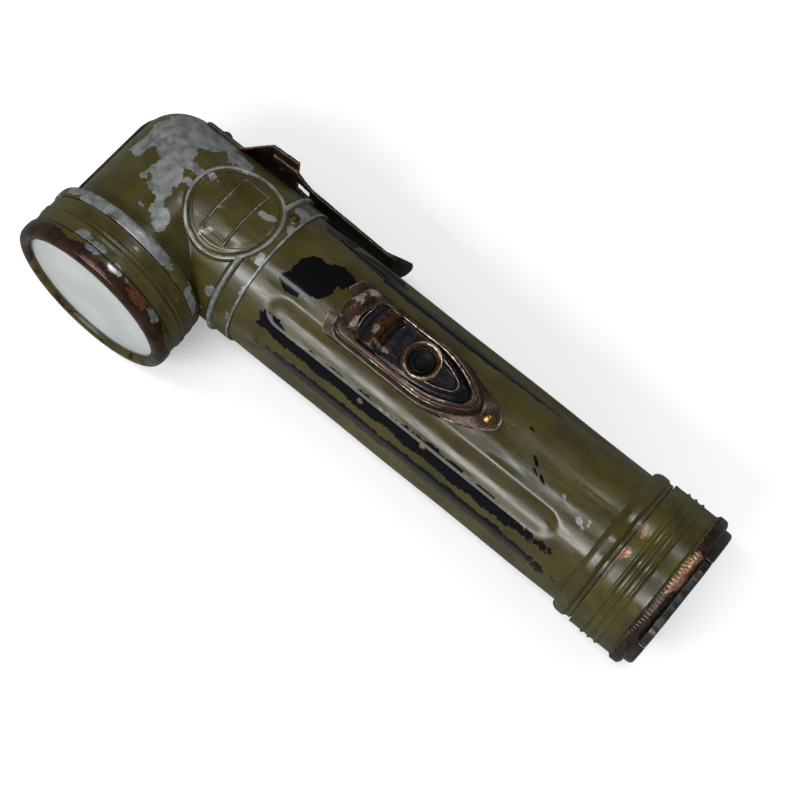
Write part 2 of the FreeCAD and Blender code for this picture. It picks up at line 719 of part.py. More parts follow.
def bulb_glass():
    """The hollow glass of the bulb."""
    foot = BULB_FLANGE_FRONT
    outer = BULB_R
    inner = BULB_R - BULB_GLASS
    shoulder = BULB_TIP - BULB_R
    steps = [
        (foot, inner),
        (foot, outer),
        (shoulder, outer),
        (shoulder + outer * HALF_ROOT, outer * HALF_ROOT, BULB_TIP, 0),
        (shoulder + inner, 0),
        (shoulder + inner * HALF_ROOT, inner * HALF_ROOT, shoulder, inner),
    ]
    return turned_lens(steps)


def bulb_base():
    """The bulb's brass base with its locating flange."""
    flange_back = BULB_FLANGE_FRONT - BULB_FLANGE_THICK
    steps = [
        (BULB_BACK, 0),
        (BULB_BACK, BULB_BASE_R - BULB_BASE_EDGE),
        (BULB_BACK + BULB_BASE_EDGE, BULB_BASE_R),
        (flange_back, BULB_BASE_R),
        (flange_back, BULB_FLANGE_R),
        (BULB_FLANGE_FRONT, BULB_FLANGE_R),
        (BULB_FLANGE_FRONT, 0),
    ]
    return turned_lens(steps)


def bulb_filament():
    """Two lead wires and the filament bar between them, at the reflector's focus."""
    top = BULB_FLANGE_FRONT + FILAMENT_HEIGHT
    leads = []
    for side in (-1, 1):
        start = V(side * FILAMENT_GAP, -BULB_FLANGE_FRONT, 0)
        leads.append(Part.makeCylinder(FILAMENT_LEAD_R, FILAMENT_HEIGHT, start, AXIS_LENS))
    start = V(-FILAMENT_GAP, 2 * FILAMENT_BAR_R - top, 0)
    bar = Part.makeCylinder(FILAMENT_BAR_R, 2 * FILAMENT_GAP, start, AXIS_X)
    return leads[0].fuse([leads[1], bar])


def bulb_socket():
    """The sleeve that holds the bulb's base."""
    back = BULB_BACK
    front = BULB_FLANGE_FRONT - BULB_FLANGE_THICK
    inner = BULB_BASE_R + FIT
    outer = inner + SOCKET_WALL
    return turned_lens([(back, inner), (back, outer), (front, outer), (front, inner)])


def socket_plate():
    """The fibre plate across the neck that carries the socket sleeve."""
    back = SOCKET_PLATE_AT
    front = back + SOCKET_PLATE_THICK
    inner = BULB_BASE_R + FIT + SOCKET_WALL
    outer = HEAD_R - HEAD_WALL - FIT
    plate = turned_lens([(back, inner), (back, outer), (front, outer), (front, inner)])
    return plate.cut(box_between((DISC_X - CLEAR, -FAR, -FAR), (FAR, FAR, FAR)))


def bulb_contact():
    """The lead tip at the back of the bulb."""
    back = BULB_BACK - BULB_CONTACT_LENGTH
    return turned_lens([(back, 0), (back, BULB_CONTACT_R), (BULB_BACK, BULB_CONTACT_R), (BULB_BACK, 0)])


def contact_strip():
    """The bent strip from the head's centre contact to the bulb's tip."""
    half = STRIP_WIDTH / 2
    back = BULB_BACK - BULB_CONTACT_LENGTH
    head_leg = box_between((-half, -back, -half), (DISC_X, -back + STRIP_THICK, half))
    low = (DISC_X - STRIP_THICK, -back, -half)
    disc_leg = box_between(low, (DISC_X, HEAD_CONTACT_R, half))
    return head_leg.fuse(disc_leg).removeSplitter()


def insulator_disc():
    """The fibre disc between the cells and the head."""
    disc = rod_x(HEAD_R - HEAD_WALL - FIT, DISC_X, DISC_X + DISC_THICK)
    return disc.cut(rod_x(HEAD_CONTACT_R / 2, DISC_X - 1, DISC_X + DISC_THICK + 1))


def head_contact():
    """The contact button in the middle of the insulating disc."""
    front = DISC_X + DISC_THICK
    shank = rod_x(HEAD_CONTACT_R / 2, DISC_X, front)
    return shank.fuse(rod_x(HEAD_CONTACT_R, front, front + HEAD_CONTACT_RISE)).removeSplitter()


# ---------------------------------------------------------------- cells

def cell_start(index):
    """Where a cell's can begins along the tube."""
    return CELLS_X + index * (CELL_LENGTH + NUB_LENGTH)


def cell_can(index):
    """One dry cell with its rolled edges."""
    start = cell_start(index)
    end = start + CELL_LENGTH
    edge = CELL_EDGE
    steps = [
        (start, 0),
        (start, CELL_R - edge),
        (start + 0.3 * edge, CELL_R - 0.3 * edge, start + edge, CELL_R),
        (end - edge, CELL_R),
        (end - 0.3 * edge, CELL_R - 0.3 * edge, end, CELL_R - edge),
        (end, 0),
    ]
    return turned_x(steps)


def cell_caps():
    """The positive caps of the two cells."""
    caps = [rod_x(NUB_R, cell_start(i) - NUB_LENGTH, cell_start(i)) for i in range(CELL_COUNT)]
    return Part.makeCompound(caps)


# ---------------------------------------------------------------- tube

def flute_angles():
    """The angles of the flutes round the tube. The place under the switch has none."""
    return [FLUTE_FIRST_DEG + FLUTE_STEP_DEG * i for i in range(FLUTE_COUNT)]


def flute_tools(extra):
    """Round-ended cutters that press the flutes in, grown by extra for the inner face."""
    centre = TUBE_R - FLUTE_DEPTH + FLUTE_CURVE_R
    radius = FLUTE_CURVE_R + extra
    steps = [
        (FLUTE_HEAD_X - radius, 0),
        (FLUTE_HEAD_X - radius * HALF_ROOT, radius * HALF_ROOT, FLUTE_HEAD_X, radius),
        (FLUTE_TAIL_X, radius),
        (FLUTE_TAIL_X + radius * HALF_ROOT, radius * HALF_ROOT, FLUTE_TAIL_X + radius, 0),
    ]
    tools = []
    for angle in flute_angles():
        tool = turned_x(steps)
        tool.translate(round_about(angle, centre))
        tools.append(tool)
    return tools


def barrel_tube():
    """The fluted tube with the switch aperture and the rivet holes."""
    outer = rod_x(TUBE_R, TUBE_HEAD_X, TUBE_TAIL_X).cut(flute_tools(0))
    inner = rod_x(TUBE_R - TUBE_WALL, TUBE_HEAD_X - 1, TUBE_TAIL_X + 1).cut(flute_tools(TUBE_WALL))
    low = (APERTURE_HEAD_X, -APERTURE_HALF, 0)
    aperture = box_between(low, (APERTURE_TAIL_X, APERTURE_HALF, FAR))
    tube = outer.cut(inner).cut([aperture, plate_rivet_hole()])
    tube.rotate(V(0, 0, 0), AXIS_X, TUBE_CLOCK_DEG)
    return tube.cut(collar_rivet_holes())


# ---------------------------------------------------------------- tail

def tail_ferrule():
    """The ring on the tube's tail with a rolled bead and the thread for the cap."""
    steps = [
        (FERRULE_HEAD_X, TUBE_R + FIT),
        (FERRULE_HEAD_X, TUBE_R + 0.5),
        (FERRULE_HEAD_X + 0.5, FERRULE_BEAD_R - 0.35, FERRULE_HEAD_X + 1.7, FERRULE_BEAD_R),
        (FERRULE_BEAD_END_X - 1.0, FERRULE_BEAD_R),
        (FERRULE_BEAD_END_X - 0.3, FERRULE_BEAD_R - 0.15, FERRULE_BEAD_END_X, FERRULE_GROOVE_R),
        (FERRULE_LIP_X, FERRULE_GROOVE_R),
        (FERRULE_LIP_X, TAIL_THREAD_R),
    ]
    for rib in range(TAIL_RIBS):
        start = FERRULE_LIP_X + TAIL_THREAD_START + rib * TAIL_PITCH
        steps += bead(start, start + TAIL_PITCH / 2, TAIL_THREAD_R, TAIL_THREAD_R + TAIL_THREAD_RISE)
    steps += [(TUBE_TAIL_X, TAIL_THREAD_R), (TUBE_TAIL_X, TUBE_R + FIT)]
    return turned_x(steps)


def tail_cap():
    """The screwed cap with three rolled ribs, a plain band and the milled rim."""
    steps = [
        (CAP_HEAD_X, CAP_BORE_R),
        (CAP_HEAD_X, CAP_R - 0.1),
        (CAP_HEAD_X + 0.1, CAP_R + 0.15, CAP_HEAD_X + 0.7, CAP_R),
    ]
    for rib in range(TAIL_RIBS):
        middle = CAP_RIB_X + rib * TAIL_PITCH
        steps += bead(middle - CAP_RIB_HALF, middle + CAP_RIB_HALF, CAP_R, CAP_R + CAP_RIB_RISE)
    steps += [
        (CAP_RIM_X - 0.4, CAP_R),
        (CAP_RIM_X, CAP_RIM_R - 0.3),
        (CAP_RIM_X + 0.4, CAP_RIM_R),
        (CAP_END_X - 1.2, CAP_RIM_R),
        (CAP_END_X - 0.35, CAP_RIM_R - 0.35, CAP_END_X, CAP_RIM_R - 1.2),
        (CAP_END_X, PLATE_BORE_R),
        (PLATE_SEAT_X, PLATE_BORE_R),
        (PLATE_SEAT_X, 0),
        (CAP_FLOOR_X, 0),
        (CAP_FLOOR_X, CAP_BORE_R - 1.0),
        (CAP_FLOOR_X - 0.3, CAP_BORE_R - 0.3, CAP_FLOOR_X - 1.0, CAP_BORE_R),
    ]
    return turned_x(steps)


def hanger_frame(shape):
    """Turns a shape drawn with the hanger ring pointing up to the ring's real clock angle."""
    shape.rotate(V(0, 0, 0), AXIS_X, HANGER_CLOCK_DEG)
    return shape


def pin_rod(radius, half):
    """A rod on the hanger pin's line."""
    start = V(HANGER_PIVOT_X, -half, -HANGER_PIVOT)
    return Part.makeCylinder(radius, 2 * half, start, V(0, 1, 0))


def end_plate():
    """The cap's end plate, with a channel that the folded hanger ring lies in."""
    edge = PLATE_EDGE
    radius = PLATE_BORE_R - FIT
    steps = [
        (PLATE_SEAT_X, 0),
        (PLATE_SEAT_X, radius),
        (END_PLATE_X - edge, radius),
        (END_PLATE_X - 0.3 * edge, radius - 0.3 * edge, END_PLATE_X, radius - edge),
        (END_PLATE_X, 0),
    ]
    half = HANGER_HALF + CLEAR
    low = (CHANNEL_FLOOR_X, -half, -HANGER_PIVOT - HANGER_THICK / 2 - CLEAR)
    channel = box_between(low, (FAR + END_PLATE_X, half, FAR))
    return hanger_frame(turned_x(steps).cut([channel, pin_rod(HANGER_PIN_R, HANGER_PIN_HALF)]))


def hanger_pin():
    """The pin that the hanger ring turns on."""
    return hanger_frame(pin_rod(HANGER_PIN_R, HANGER_PIN_HALF))


def hanger_outline(half, reach, corner, foot):
    """A loop outline of (across, along) steps with rounded far corners."""
    inset = corner * (1 - math.sqrt(0.5))
    return [
        (-half, foot),
        (-half, reach - corner),
        (-half + inset, reach - inset, -half + corner, reach),
        (half - corner, reach),
        (half - inset, reach - inset, half, reach - corner),
        (half, foot),
    ]


def hanger_plate(steps, start, end):
    """A flat plate across the tail from an outline of (across, along) steps."""
    face = face_from(steps, lambda across, along: V(start, across, along))
    return outward(face.extrude(V(end - start, 0, 0)))


def hanger_ring():
    """The folding hanger ring: a flat loop with two knuckles on the pin."""
    front = HANGER_BACK_X + HANGER_THICK
    outer = hanger_outline(HANGER_HALF, HANGER_REACH, HANGER_CORNER_R, -HANGER_PIVOT)
    inner_half = HANGER_HALF - HANGER_BAND
    below = -HANGER_PIVOT - HANGER_THICK
    inner = hanger_outline(inner_half, HANGER_REACH - HANGER_BAND, HANGER_INNER_CORNER_R, below)
    ring = hanger_plate(outer, HANGER_BACK_X, front)
    ring = ring.fuse(pin_rod(HANGER_THICK / 2, HANGER_HALF))
    ring = ring.cut([hanger_plate(inner, HANGER_BACK_X - 1, front + 1), pin_rod(HANGER_PIN_R + FIT, FAR)])
    return hanger_frame(ring.removeSplitter())


def spring_cup():
    """The shallow cup in the cap that the battery spring stands in."""
    steps = [
        (CAP_FLOOR_X, 0),
        (CAP_FLOOR_X, CUP_R),
        (CAP_FLOOR_X - CUP_LIP, CUP_R),
        (CAP_FLOOR_X - CUP_LIP, CUP_R - CUP_THICK),
        (CAP_FLOOR_X - CUP_THICK, CUP_R - CUP_THICK),
        (CAP_FLOOR_X - CUP_THICK, 0),
    ]
    return turned_x(steps)


def battery_spring():
    """The coil spring between the last cell and the cup."""
    coil = coil_spring(COIL_R, COIL_WIRE_R, COIL_TURNS, COIL_LENGTH)
    coil.rotate(V(0, 0, 0), V(0, 1, 0), 90)
    coil.translate(V(CELLS_END_X, 0, 0))
    return coil


# ---------------------------------------------------------------- switch

def shield(head_x, bow, half, taper_x, tip_x, corner_r, tip_r):
    """Plan outline of a switch stamping: bowed head end, straight sides, tail with a round tip."""
    reach = tip_x - tip_r - taper_x
    radius = (reach ** 2 + half ** 2 - tip_r ** 2) / (2 * (half - tip_r))
    turn = math.atan2(reach, radius - half)
    middle, end = [
        (taper_x + radius * math.sin(angle), half - radius * (1 - math.cos(angle)))
        for angle in (turn / 2, turn)
    ]
    cut = corner_r * (1 - HALF_ROOT)
    return [
        (head_x + corner_r, -half),
        (head_x + cut, cut - half, head_x, corner_r - half),
        (head_x - bow, 0, head_x, half - corner_r),
        (head_x + cut, half - cut, head_x + corner_r, half),
        (taper_x, half),
        (middle[0], middle[1], end[0], end[1]),
        (tip_x, 0, end[0], -end[1]),
        (middle[0], -middle[1], taper_x, -half),
    ]


def on_tube(shape):
    """Turns a shape drawn on the tube's own top line to where the tube really sits."""
    shape.rotate(V(0, 0, 0), AXIS_X, TUBE_CLOCK_DEG)
    return shape


def plate_rivet_hole():
    """The hole for the rivet at the tail of the switch plate, on the tube's own top line."""
    return Part.makeCylinder(RIVET_SHANK_R, FAR, V(PLATE_RIVET_X, 0, 0), UP)


def switch_housing():
    """The curved base plate and the raised, slotted wall, pressed from one sheet."""
    foot = TUBE_R + FIT
    outline = shield(
        PLATE_HEAD_X, PLATE_BOW, PLATE_HALF, PLATE_TAPER_X, PLATE_TIP_X, PLATE_CORNER_R, PLATE_TIP_R
    )
    plate = prism(outline, 0, FAR).common(sleeve_x(foot, foot + PLATE_THICK, 0, FAR * 2))
    notch = box_between((0, -EAR_NOTCH_HALF, 0), (EAR_NOTCH_X, EAR_NOTCH_HALF, FAR))
    plate = plate.cut(notch)
    outline = shield(
        HOUSING_HEAD_X,
        HOUSING_BOW,
        HOUSING_HALF,
        HOUSING_TAPER_X,
        HOUSING_TIP_X,
        HOUSING_CORNER_R,
        HOUSING_TIP_R,
    )
    raised = prism(outline, 0, HOUSING_TOP)
    top_edge = [e for e in raised.Edges if e.BoundBox.ZMin > HOUSING_TOP - FIT]
    raised = raised.makeFillet(HOUSING_WALL, top_edge).cut(rod_x(foot, 0, FAR * 2))
    room = shield(
        HOUSING_HEAD_X + HOUSING_WALL,
        HOUSING_BOW,
        HOUSING_HALF - HOUSING_WALL,
        HOUSING_TAPER_X,
        HOUSING_TIP_X - 2 * HOUSING_WALL,
        HOUSING_CORNER_R - HOUSING_WALL,
        HOUSING_TIP_R - HOUSING_WALL,
    )
    slot = shield(
        SLOT_HEAD_X, SLOT_BOW, SLOT_HALF, SLOT_TAPER_X, SLOT_TIP_X, SLOT_CORNER_R, SLOT_TIP_R
    )
    tools = [prism(room, 0, HOUSING_TOP - HOUSING_WALL), prism(slot, 0, FAR)]
    shape = plate.fuse(raised).cut(tools).cut(plate_rivet_hole())
    return on_tube(shape)


def slider_outline(shrink):
    """The slider's plan outline, smaller than the slot by the shrink and the travel."""
    return shield(
        SLOT_HEAD_X + shrink,
        SLOT_BOW,
        SLOT_HALF - shrink,
        SLOT_TAPER_X - SLIDER_TRAVEL - shrink,
        SLOT_TIP_X - SLIDER_TRAVEL - 2 * shrink,
        SLOT_CORNER_R - shrink,
        SLOT_TIP_R - shrink,
    )


def bowed_band(start, width):
    """A plan band across the slider with the same bow as its head end."""
    half = SLOT_HALF
    return [
        (start, -half),
        (start - SLOT_BOW, 0, start, half),
        (start + width, half),
        (start + width - SLOT_BOW, 0, start + width, -half),
    ]


def switch_slider():
    """The thumb slide: a flange under the slot, a deck with ridges, and the button's well."""
    flange = shield(
        SLOT_HEAD_X - SLIDER_FLANGE,
        SLOT_BOW,
        SLOT_HALF + SLIDER_FLANGE,
        HOUSING_TAPER_X - SLIDER_TRAVEL - CLEAR,
        HOUSING_TIP_X - 2 * HOUSING_WALL - SLIDER_TRAVEL - 3 * CLEAR,
        SLOT_CORNER_R,
        SLOT_TIP_R,
    )
    body = prism(flange, SLIDER_BOTTOM, HOUSING_TOP - HOUSING_WALL - CLEAR)
    deck = prism(slider_outline(CLEAR), SLIDER_BOTTOM, SLIDER_LEVEL)
    start = SLOT_HEAD_X + CLEAR
    limit = prism(slider_outline(CLEAR), SLIDER_BOTTOM, FAR)
    arc_ridge = prism(bowed_band(start, ARC_RIDGE_WIDTH), SLIDER_BOTTOM, RIDGE_TOP)
    thumb = prism(bowed_band(THUMB_X, THUMB_WIDTH), SLIDER_BOTTOM, FAR)
    crown_x = THUMB_X + THUMB_WIDTH / 2 - SLOT_BOW / 2
    crown = Part.makeCylinder(
        THUMB_CURVE_R, 4 * SLOT_HALF, V(crown_x, -2 * SLOT_HALF, THUMB_TOP - THUMB_CURVE_R), V(0, 1, 0)
    )
    inset = CLEAR + TAIL_RIDGE_INSET
    tail = prism(slider_outline(inset), SLIDER_BOTTOM, RIDGE_TOP)
    tail = tail.cut(prism(slider_outline(inset + TAIL_RIDGE_WIDTH), 0, FAR))
    tail = tail.cut(box_between((0, -FAR, 0), (BUTTON_X, FAR, FAR)))
    guard_seat = Part.makeCylinder(GUARD_R + 2 * FIT, FAR, V(BUTTON_X, 0, SLIDER_LEVEL), UP)
    ridges = [arc_ridge.common(limit), thumb.common(crown).common(limit), tail]
    shape = body.fuse([deck] + ridges)
    well = Part.makeCylinder(GUARD_BORE_R, FAR, V(BUTTON_X, 0, SLIDER_BOTTOM + SLIDER_FLOOR), UP)
    bore = Part.makeCylinder(STEM_R + FIT, FAR, V(BUTTON_X, 0, 0), UP)
    under = rod_x(TUBE_R + FIT + CLEAR / 2, 0, 2 * FAR)
    return on_tube(shape.cut([well, bore, under, guard_seat]).removeSplitter())


def button_guard():
    """The round guard that stands on the slider round the button."""
    wall = GUARD_R - GUARD_BORE_R
    steps = [
        (GUARD_BORE_R, SLIDER_LEVEL),
        (GUARD_R + FIT, SLIDER_LEVEL),
        (GUARD_R - 0.35, GUARD_TOP - 0.55),
        (GUARD_R - 0.55, GUARD_TOP - 0.12, GUARD_BORE_R + 0.55 * wall, GUARD_TOP),
        (GUARD_BORE_R + 0.12, GUARD_TOP - 0.16, GUARD_BORE_R, GUARD_TOP - 0.7),
    ]
    return on_tube(turned_up(steps, BUTTON_X))


def signal_button():
    """The dished push button with its stem."""
    dish = BUTTON_R - BUTTON_LAND
    steps = [
        (0, STEM_BOTTOM),
        (STEM_R - STEM_EDGE, STEM_BOTTOM),
        (STEM_R, STEM_BOTTOM + STEM_EDGE),
        (STEM_R, BUTTON_UNDER),
        (BUTTON_R, BUTTON_UNDER),
        (BUTTON_R, BUTTON_TOP - BUTTON_EDGE),
        (BUTTON_R - BUTTON_EDGE, BUTTON_TOP),
        (dish, BUTTON_TOP),
        crown(dish, BUTTON_TOP, BUTTON_TOP - BUTTON_DISH_DEPTH),
    ]
    return on_tube(turned_up(steps, BUTTON_X))


def button_spring():
    """The coil spring that lifts the button."""
    floor = SLIDER_BOTTOM + SLIDER_FLOOR
    coil = coil_spring(SPRING_R, SPRING_WIRE_R, SPRING_TURNS, BUTTON_UNDER - floor)
    coil.translate(V(BUTTON_X, 0, floor))
    return on_tube(coil)


def switch_insulator():
    """The fibre strip between the cells and the contact leaf."""
    low = (INSULATOR_HEAD_X, -INSULATOR_HALF, CELL_R + FIT)
    strip = box_between(low, (CONTACT_TAIL_X, INSULATOR_HALF, INSULATOR_TOP))
    return on_tube(strip.cut(plate_rivet_hole()))


def signal_contact():
    """The brass leaf that the button presses."""
    low = (CONTACT_HEAD_X, -CONTACT_HALF, INSULATOR_TOP)
    leaf = box_between(low, (CONTACT_TAIL_X, CONTACT_HALF, CONTACT_TOP))
    return on_tube(leaf.cut(plate_rivet_hole()))


def contact_spacer():
    """The washer between the contact leaf and the inside of the tube."""
    washer = Part.makeCylinder(SPACER_R, FAR, V(PLATE_RIVET_X, 0, CONTACT_TOP), UP)
    washer = washer.common(rod_x(TUBE_R - TUBE_WALL, 0, 2 * FAR))
    return on_tube(washer.cut(plate_rivet_hole()))


def plate_rivet():
    """The brass rivet through the switch plate, tube, spacer, leaf and strip."""
    seat = TUBE_R + FIT + PLATE_THICK
    return on_tube(rivet(V(PLATE_RIVET_X, 0, seat), UP, seat - CELL_R - FIT))


# ---------------------------------------------------------------- belt clip

def back_arc(radius, half_deg, x):
    """Three points of an arc round the back of the head, from the lower to the upper side."""
    return [round_about(-90 + a, radius, x) for a in (-half_deg, 0, half_deg)]


def saddle(inner, outer, start, end):
    """A curved plate on the back of the head."""
    reach = math.radians(CLIP_FOOT_DEG)
    ring = sleeve_x(inner, outer, start, end)
    tip = (outer + 1) / math.cos(reach)
    wedge = Part.Face(
        Part.makePolygon(
            [
                V(start, 0, 0),
                V(start, tip * math.cos(reach), tip * math.sin(reach)),
                V(start, tip * math.cos(reach), -tip * math.sin(reach)),
                V(start, 0, 0),
            ]
        )
    )
    return ring.common(outward(wedge.extrude(V(end - start, 0, 0))))


def clip_section(inner, outer, half_deg, x):
    """A curved section wire of the clip's sheet round the back of the head."""
    low_in, mid_in, top_in = back_arc(inner, half_deg, x)
    low_out, mid_out, top_out = back_arc(outer, half_deg, x)
    return Part.Wire(
        [
            Part.Arc(low_in, mid_in, top_in).toShape(),
            Part.LineSegment(top_in, top_out).toShape(),
            Part.Arc(top_out, mid_out, low_out).toShape(),
            Part.LineSegment(low_out, low_in).toShape(),
        ]
    )


def flat_section(inner, sheet, half, x):
    """A flat section wire of the clip's sheet, matched edge for edge to the curved one."""
    corners = [V(x, inner, -half), V(x, inner, half), V(x, inner + sheet, half), V(x, inner + sheet, -half)]
    return Part.Wire([Part.LineSegment(corners[i], corners[(i + 1) % 4]).toShape() for i in range(4)])


def upright_plate(steps, low, high):
    """A sheet profile of (x, y) steps drawn across the clip's width."""
    face = face_from(steps, lambda x, y: V(x, y, low))
    return outward(face.extrude(V(0, 0, high - low)))


def clip_rivet_places():
    """Each clip rivet's seat and its outward direction."""
    places = []
    for side in (-1, 1):
        angle = -90 + side * CLIP_RIVET_DEG
        places.append((round_about(angle, CLIP_OUTER_R, CLIP_RIVET_X), round_about(angle, 1)))
    return places


def clip_rivet_depth():
    """How far a clip rivet reaches in: through the foot and the head wall."""
    return CLIP_SHEET + FIT + HEAD_WALL


def clip_rivets():
    """The rivets that fasten the clip bracket to the head."""
    return Part.makeCompound([rivet(p, d, clip_rivet_depth()) for p, d in clip_rivet_places()])


def clip_rivet_holes():
    """The holes for the clip rivets."""
    holes = [rivet_hole(p, d, clip_rivet_depth() + 1) for p, d in clip_rivet_places()]
    return Part.makeCompound(holes)


def clip_bracket():
    """The clip's wide bracket: curved foot, ramp and raised platform with two small windows."""
    foot = saddle(CLIP_INNER_R, CLIP_OUTER_R, CLIP_FOOT_X, CLIP_RISE_X)
    ramp = Part.makeLoft(
        [
            clip_section(CLIP_INNER_R, CLIP_OUTER_R, CLIP_FOOT_DEG, CLIP_RISE_X),
            flat_section(CLIP_PLATFORM_Y, CLIP_SHEET, CLIP_HALF, CLIP_PLATFORM_X),
        ],
        True,
        True,
    )
    end_y = CLIP_PLATFORM_Y + CLIP_PLATFORM_RISE
    platform = upright_plate(
        [
            (CLIP_PLATFORM_X, CLIP_PLATFORM_Y),
            (CLIP_PLATFORM_END_X, end_y),
            (CLIP_PLATFORM_END_X, end_y + CLIP_SHEET),
            (CLIP_PLATFORM_X, CLIP_PLATFORM_Y + CLIP_SHEET),
        ],
        -CLIP_HALF,
        CLIP_HALF,
    )
    seam = box_between(
        (-FAR, 0, -SEAM_WIDTH / 2 - FIT), (FAR, HEAD_R + SEAM_RISE + FIT, SEAM_WIDTH / 2 + FIT)
    )
    shape = outward(ramp).fuse([foot, platform]).cut(seam)
    return shape.cut([clip_rivet_holes(), small_windows(), strap_rivet_holes(0)]).removeSplitter()


def small_windows():
    """The small windows through the platform and the strap's root."""
    windows = []
    for side in (-1, 1):
        at = side * SMALL_WINDOW_AT_Z
        low = (SMALL_WINDOW_X, HEAD_R, at - SMALL_WINDOW_HALF)
        high = (SMALL_WINDOW_X + SMALL_WINDOW_LENGTH, FAR, at + SMALL_WINDOW_HALF)
        windows.append(box_between(low, high))
    return Part.makeCompound(windows)


def platform_direction():
    """The outward direction of the platform, which slopes a little."""
    return V(-CLIP_PLATFORM_RISE, CLIP_PLATFORM_LENGTH, 0).normalize()


def strap_rivet_places():
    """Each strap rivet's seat on the platform."""
    slope = CLIP_PLATFORM_RISE / CLIP_PLATFORM_LENGTH
    seat_y = CLIP_PLATFORM_Y + CLIP_SHEET + slope * (STRAP_RIVET_X - CLIP_PLATFORM_X)
    return [V(STRAP_RIVET_X, seat_y, side * STRAP_RIVET_AT_Z) for side in (-1, 1)]


def strap_rivet_depth():
    """How far a strap rivet reaches in: through the platform and the strap's root."""
    return CLIP_SHEET + CLEAR + STRAP_SHEET


def strap_rivets():
    """The rivets that hold the strap's root under the platform."""
    places = strap_rivet_places()
    return Part.makeCompound([rivet(p, platform_direction(), strap_rivet_depth()) for p in places])


def strap_rivet_holes(room):
    """The holes for the strap rivets, wider than the shank by the room round it."""
    depth = strap_rivet_depth() + 1
    direction = platform_direction()
    radius = RIVET_SHANK_R + room
    return Part.makeCompound(
        [Part.makeCylinder(radius, 2 * depth, p - direction * depth, direction) for p in strap_rivet_places()]
    )


def strap_profile():
    """The strap's side view: root, step down, long leaf and tip curled outward."""
    sheet = STRAP_SHEET
    step_y = STRAP_ROOT_Y + STRAP_STEP_RISE
    low_y = STRAP_Y - STRAP_SAG
    tip_y = STRAP_Y + STRAP_TIP_RISE
    bend_x = STRAP_STRAIGHT_X + STRAP_TIP_LENGTH / 2
    bend_y = STRAP_Y + 0.2 * STRAP_TIP_RISE
    return [
        (STRAP_ROOT_X, STRAP_ROOT_Y),
        (STRAP_STEP_X, step_y),
        (STRAP_STEP_END_X, STRAP_Y + STRAP_SAG),
        (STRAP_STRAIGHT_X, low_y),
        (bend_x + 0.6 * sheet, bend_y, STRAP_TIP_X, tip_y),
        (STRAP_TIP_X + 0.25 * sheet, tip_y + 0.8 * sheet, STRAP_TIP_X - 0.7 * sheet, tip_y + 0.6 * sheet),
        (bend_x - 0.3 * sheet, bend_y + 1.3 * sheet, STRAP_STRAIGHT_X - 0.6 * sheet, low_y + sheet),
        (STRAP_STEP_END_X + 0.3 * sheet, STRAP_Y + STRAP_SAG + sheet),
        (STRAP_STEP_X + 0.4 * sheet, step_y + sheet),
        (STRAP_ROOT_X, STRAP_ROOT_Y + sheet),
    ]


def strap_plan():
    """The strap's front view: wide root, shoulders and a long leaf with a rounded tip."""
    wide = STRAP_SHOULDER_HALF
    slim = STRAP_HALF - STRAP_TIP_TAPER
    shoulder_x = STRAP_STEP_X + 1.2
    curve_x = STRAP_NARROW_X - 0.5 * (STRAP_NARROW_X - shoulder_x)
    curve = STRAP_HALF + 0.27 * (wide - STRAP_HALF)
    corner_x = STRAP_TIP_X - STRAP_TIP_CORNER
    return [
        (STRAP_ROOT_X, -wide),
        (shoulder_x, -wide),
        (curve_x, -curve, STRAP_NARROW_X, -STRAP_HALF),
        (corner_x, -slim),
        (STRAP_TIP_X, 0, corner_x, slim),
        (STRAP_NARROW_X, STRAP_HALF),
        (curve_x, curve, shoulder_x, wide),
        (STRAP_ROOT_X, wide),
    ]


def belt_clip():
    """The sprung strap, cut to its plan and with its windows and rivet holes."""
    leaf = upright_plate(strap_profile(), -CLIP_HALF, CLIP_HALF)
    plan = face_from(strap_plan(), lambda x, z: V(x, 0, z))
    leaf = leaf.common(outward(plan.extrude(V(0, FAR, 0))))
    tools = [small_windows(), strap_rivet_holes(CLEAR / 2)]
    for side in (-1, 1):
        at = side * WINDOW_AT_Z
        low = (WINDOW_HEAD_X, HEAD_R, at - WINDOW_HALF)
        high = (WINDOW_HEAD_X + WINDOW_LENGTH, FAR, at + WINDOW_HALF)
        tools.append(box_between(low, high))
    return leaf.cut(tools)


# ---------------------------------------------------------------- assembly

def build():
    """Every piece by its node name, in the bench frame."""
    upper, lower = head_shells()
    return {
        "head_shell_upper": upper,
        "head_shell_lower": lower,
        "head_seam_strip": head_seam(),
        "collar_rivets": collar_rivets(),
        "neck_collar": neck_collar(),
        "lens_ring": lens_ring(),
        "lens_glass": lens_glass(),
        "lens_gasket": lens_gasket(),
        "reflector": reflector(),
        "bulb_glass": bulb_glass(),
        "bulb_base": bulb_base(),
        "bulb_filament": bulb_filament(),
        "bulb_contact": bulb_contact(),
        "bulb_socket": bulb_socket(),
        "socket_plate": socket_plate(),
        "contact_strip": contact_strip(),
        "insulator_disc": insulator_disc(),
        "head_contact": head_contact(),
        "battery_front": cell_can(0),
        "battery_rear": cell_can(1),
        "battery_caps": cell_caps(),
        "battery_spring": battery_spring(),
        "spring_cup": spring_cup(),
        "barrel_tube": barrel_tube(),
        "tail_ferrule": tail_ferrule(),
        "tail_cap": tail_cap(),
        "tail_end_plate": end_plate(),
        "hanger_ring": hanger_ring(),
        "hanger_pin": hanger_pin(),
        "switch_housing": switch_housing(),
        "switch_slider": switch_slider(),
        "button_guard": button_guard(),
        "signal_button": signal_button(),
        "button_spring": button_spring(),
        "switch_insulator": switch_insulator(),
        "signal_contact": signal_contact(),
        "contact_spacer": contact_spacer(),
        "plate_rivet": plate_rivet(),
        "clip_bracket": clip_bracket(),
        "clip_rivets": clip_rivets(),
        "strap_rivets": strap_rivets(),
        "belt_clip": belt_clip(),
    }


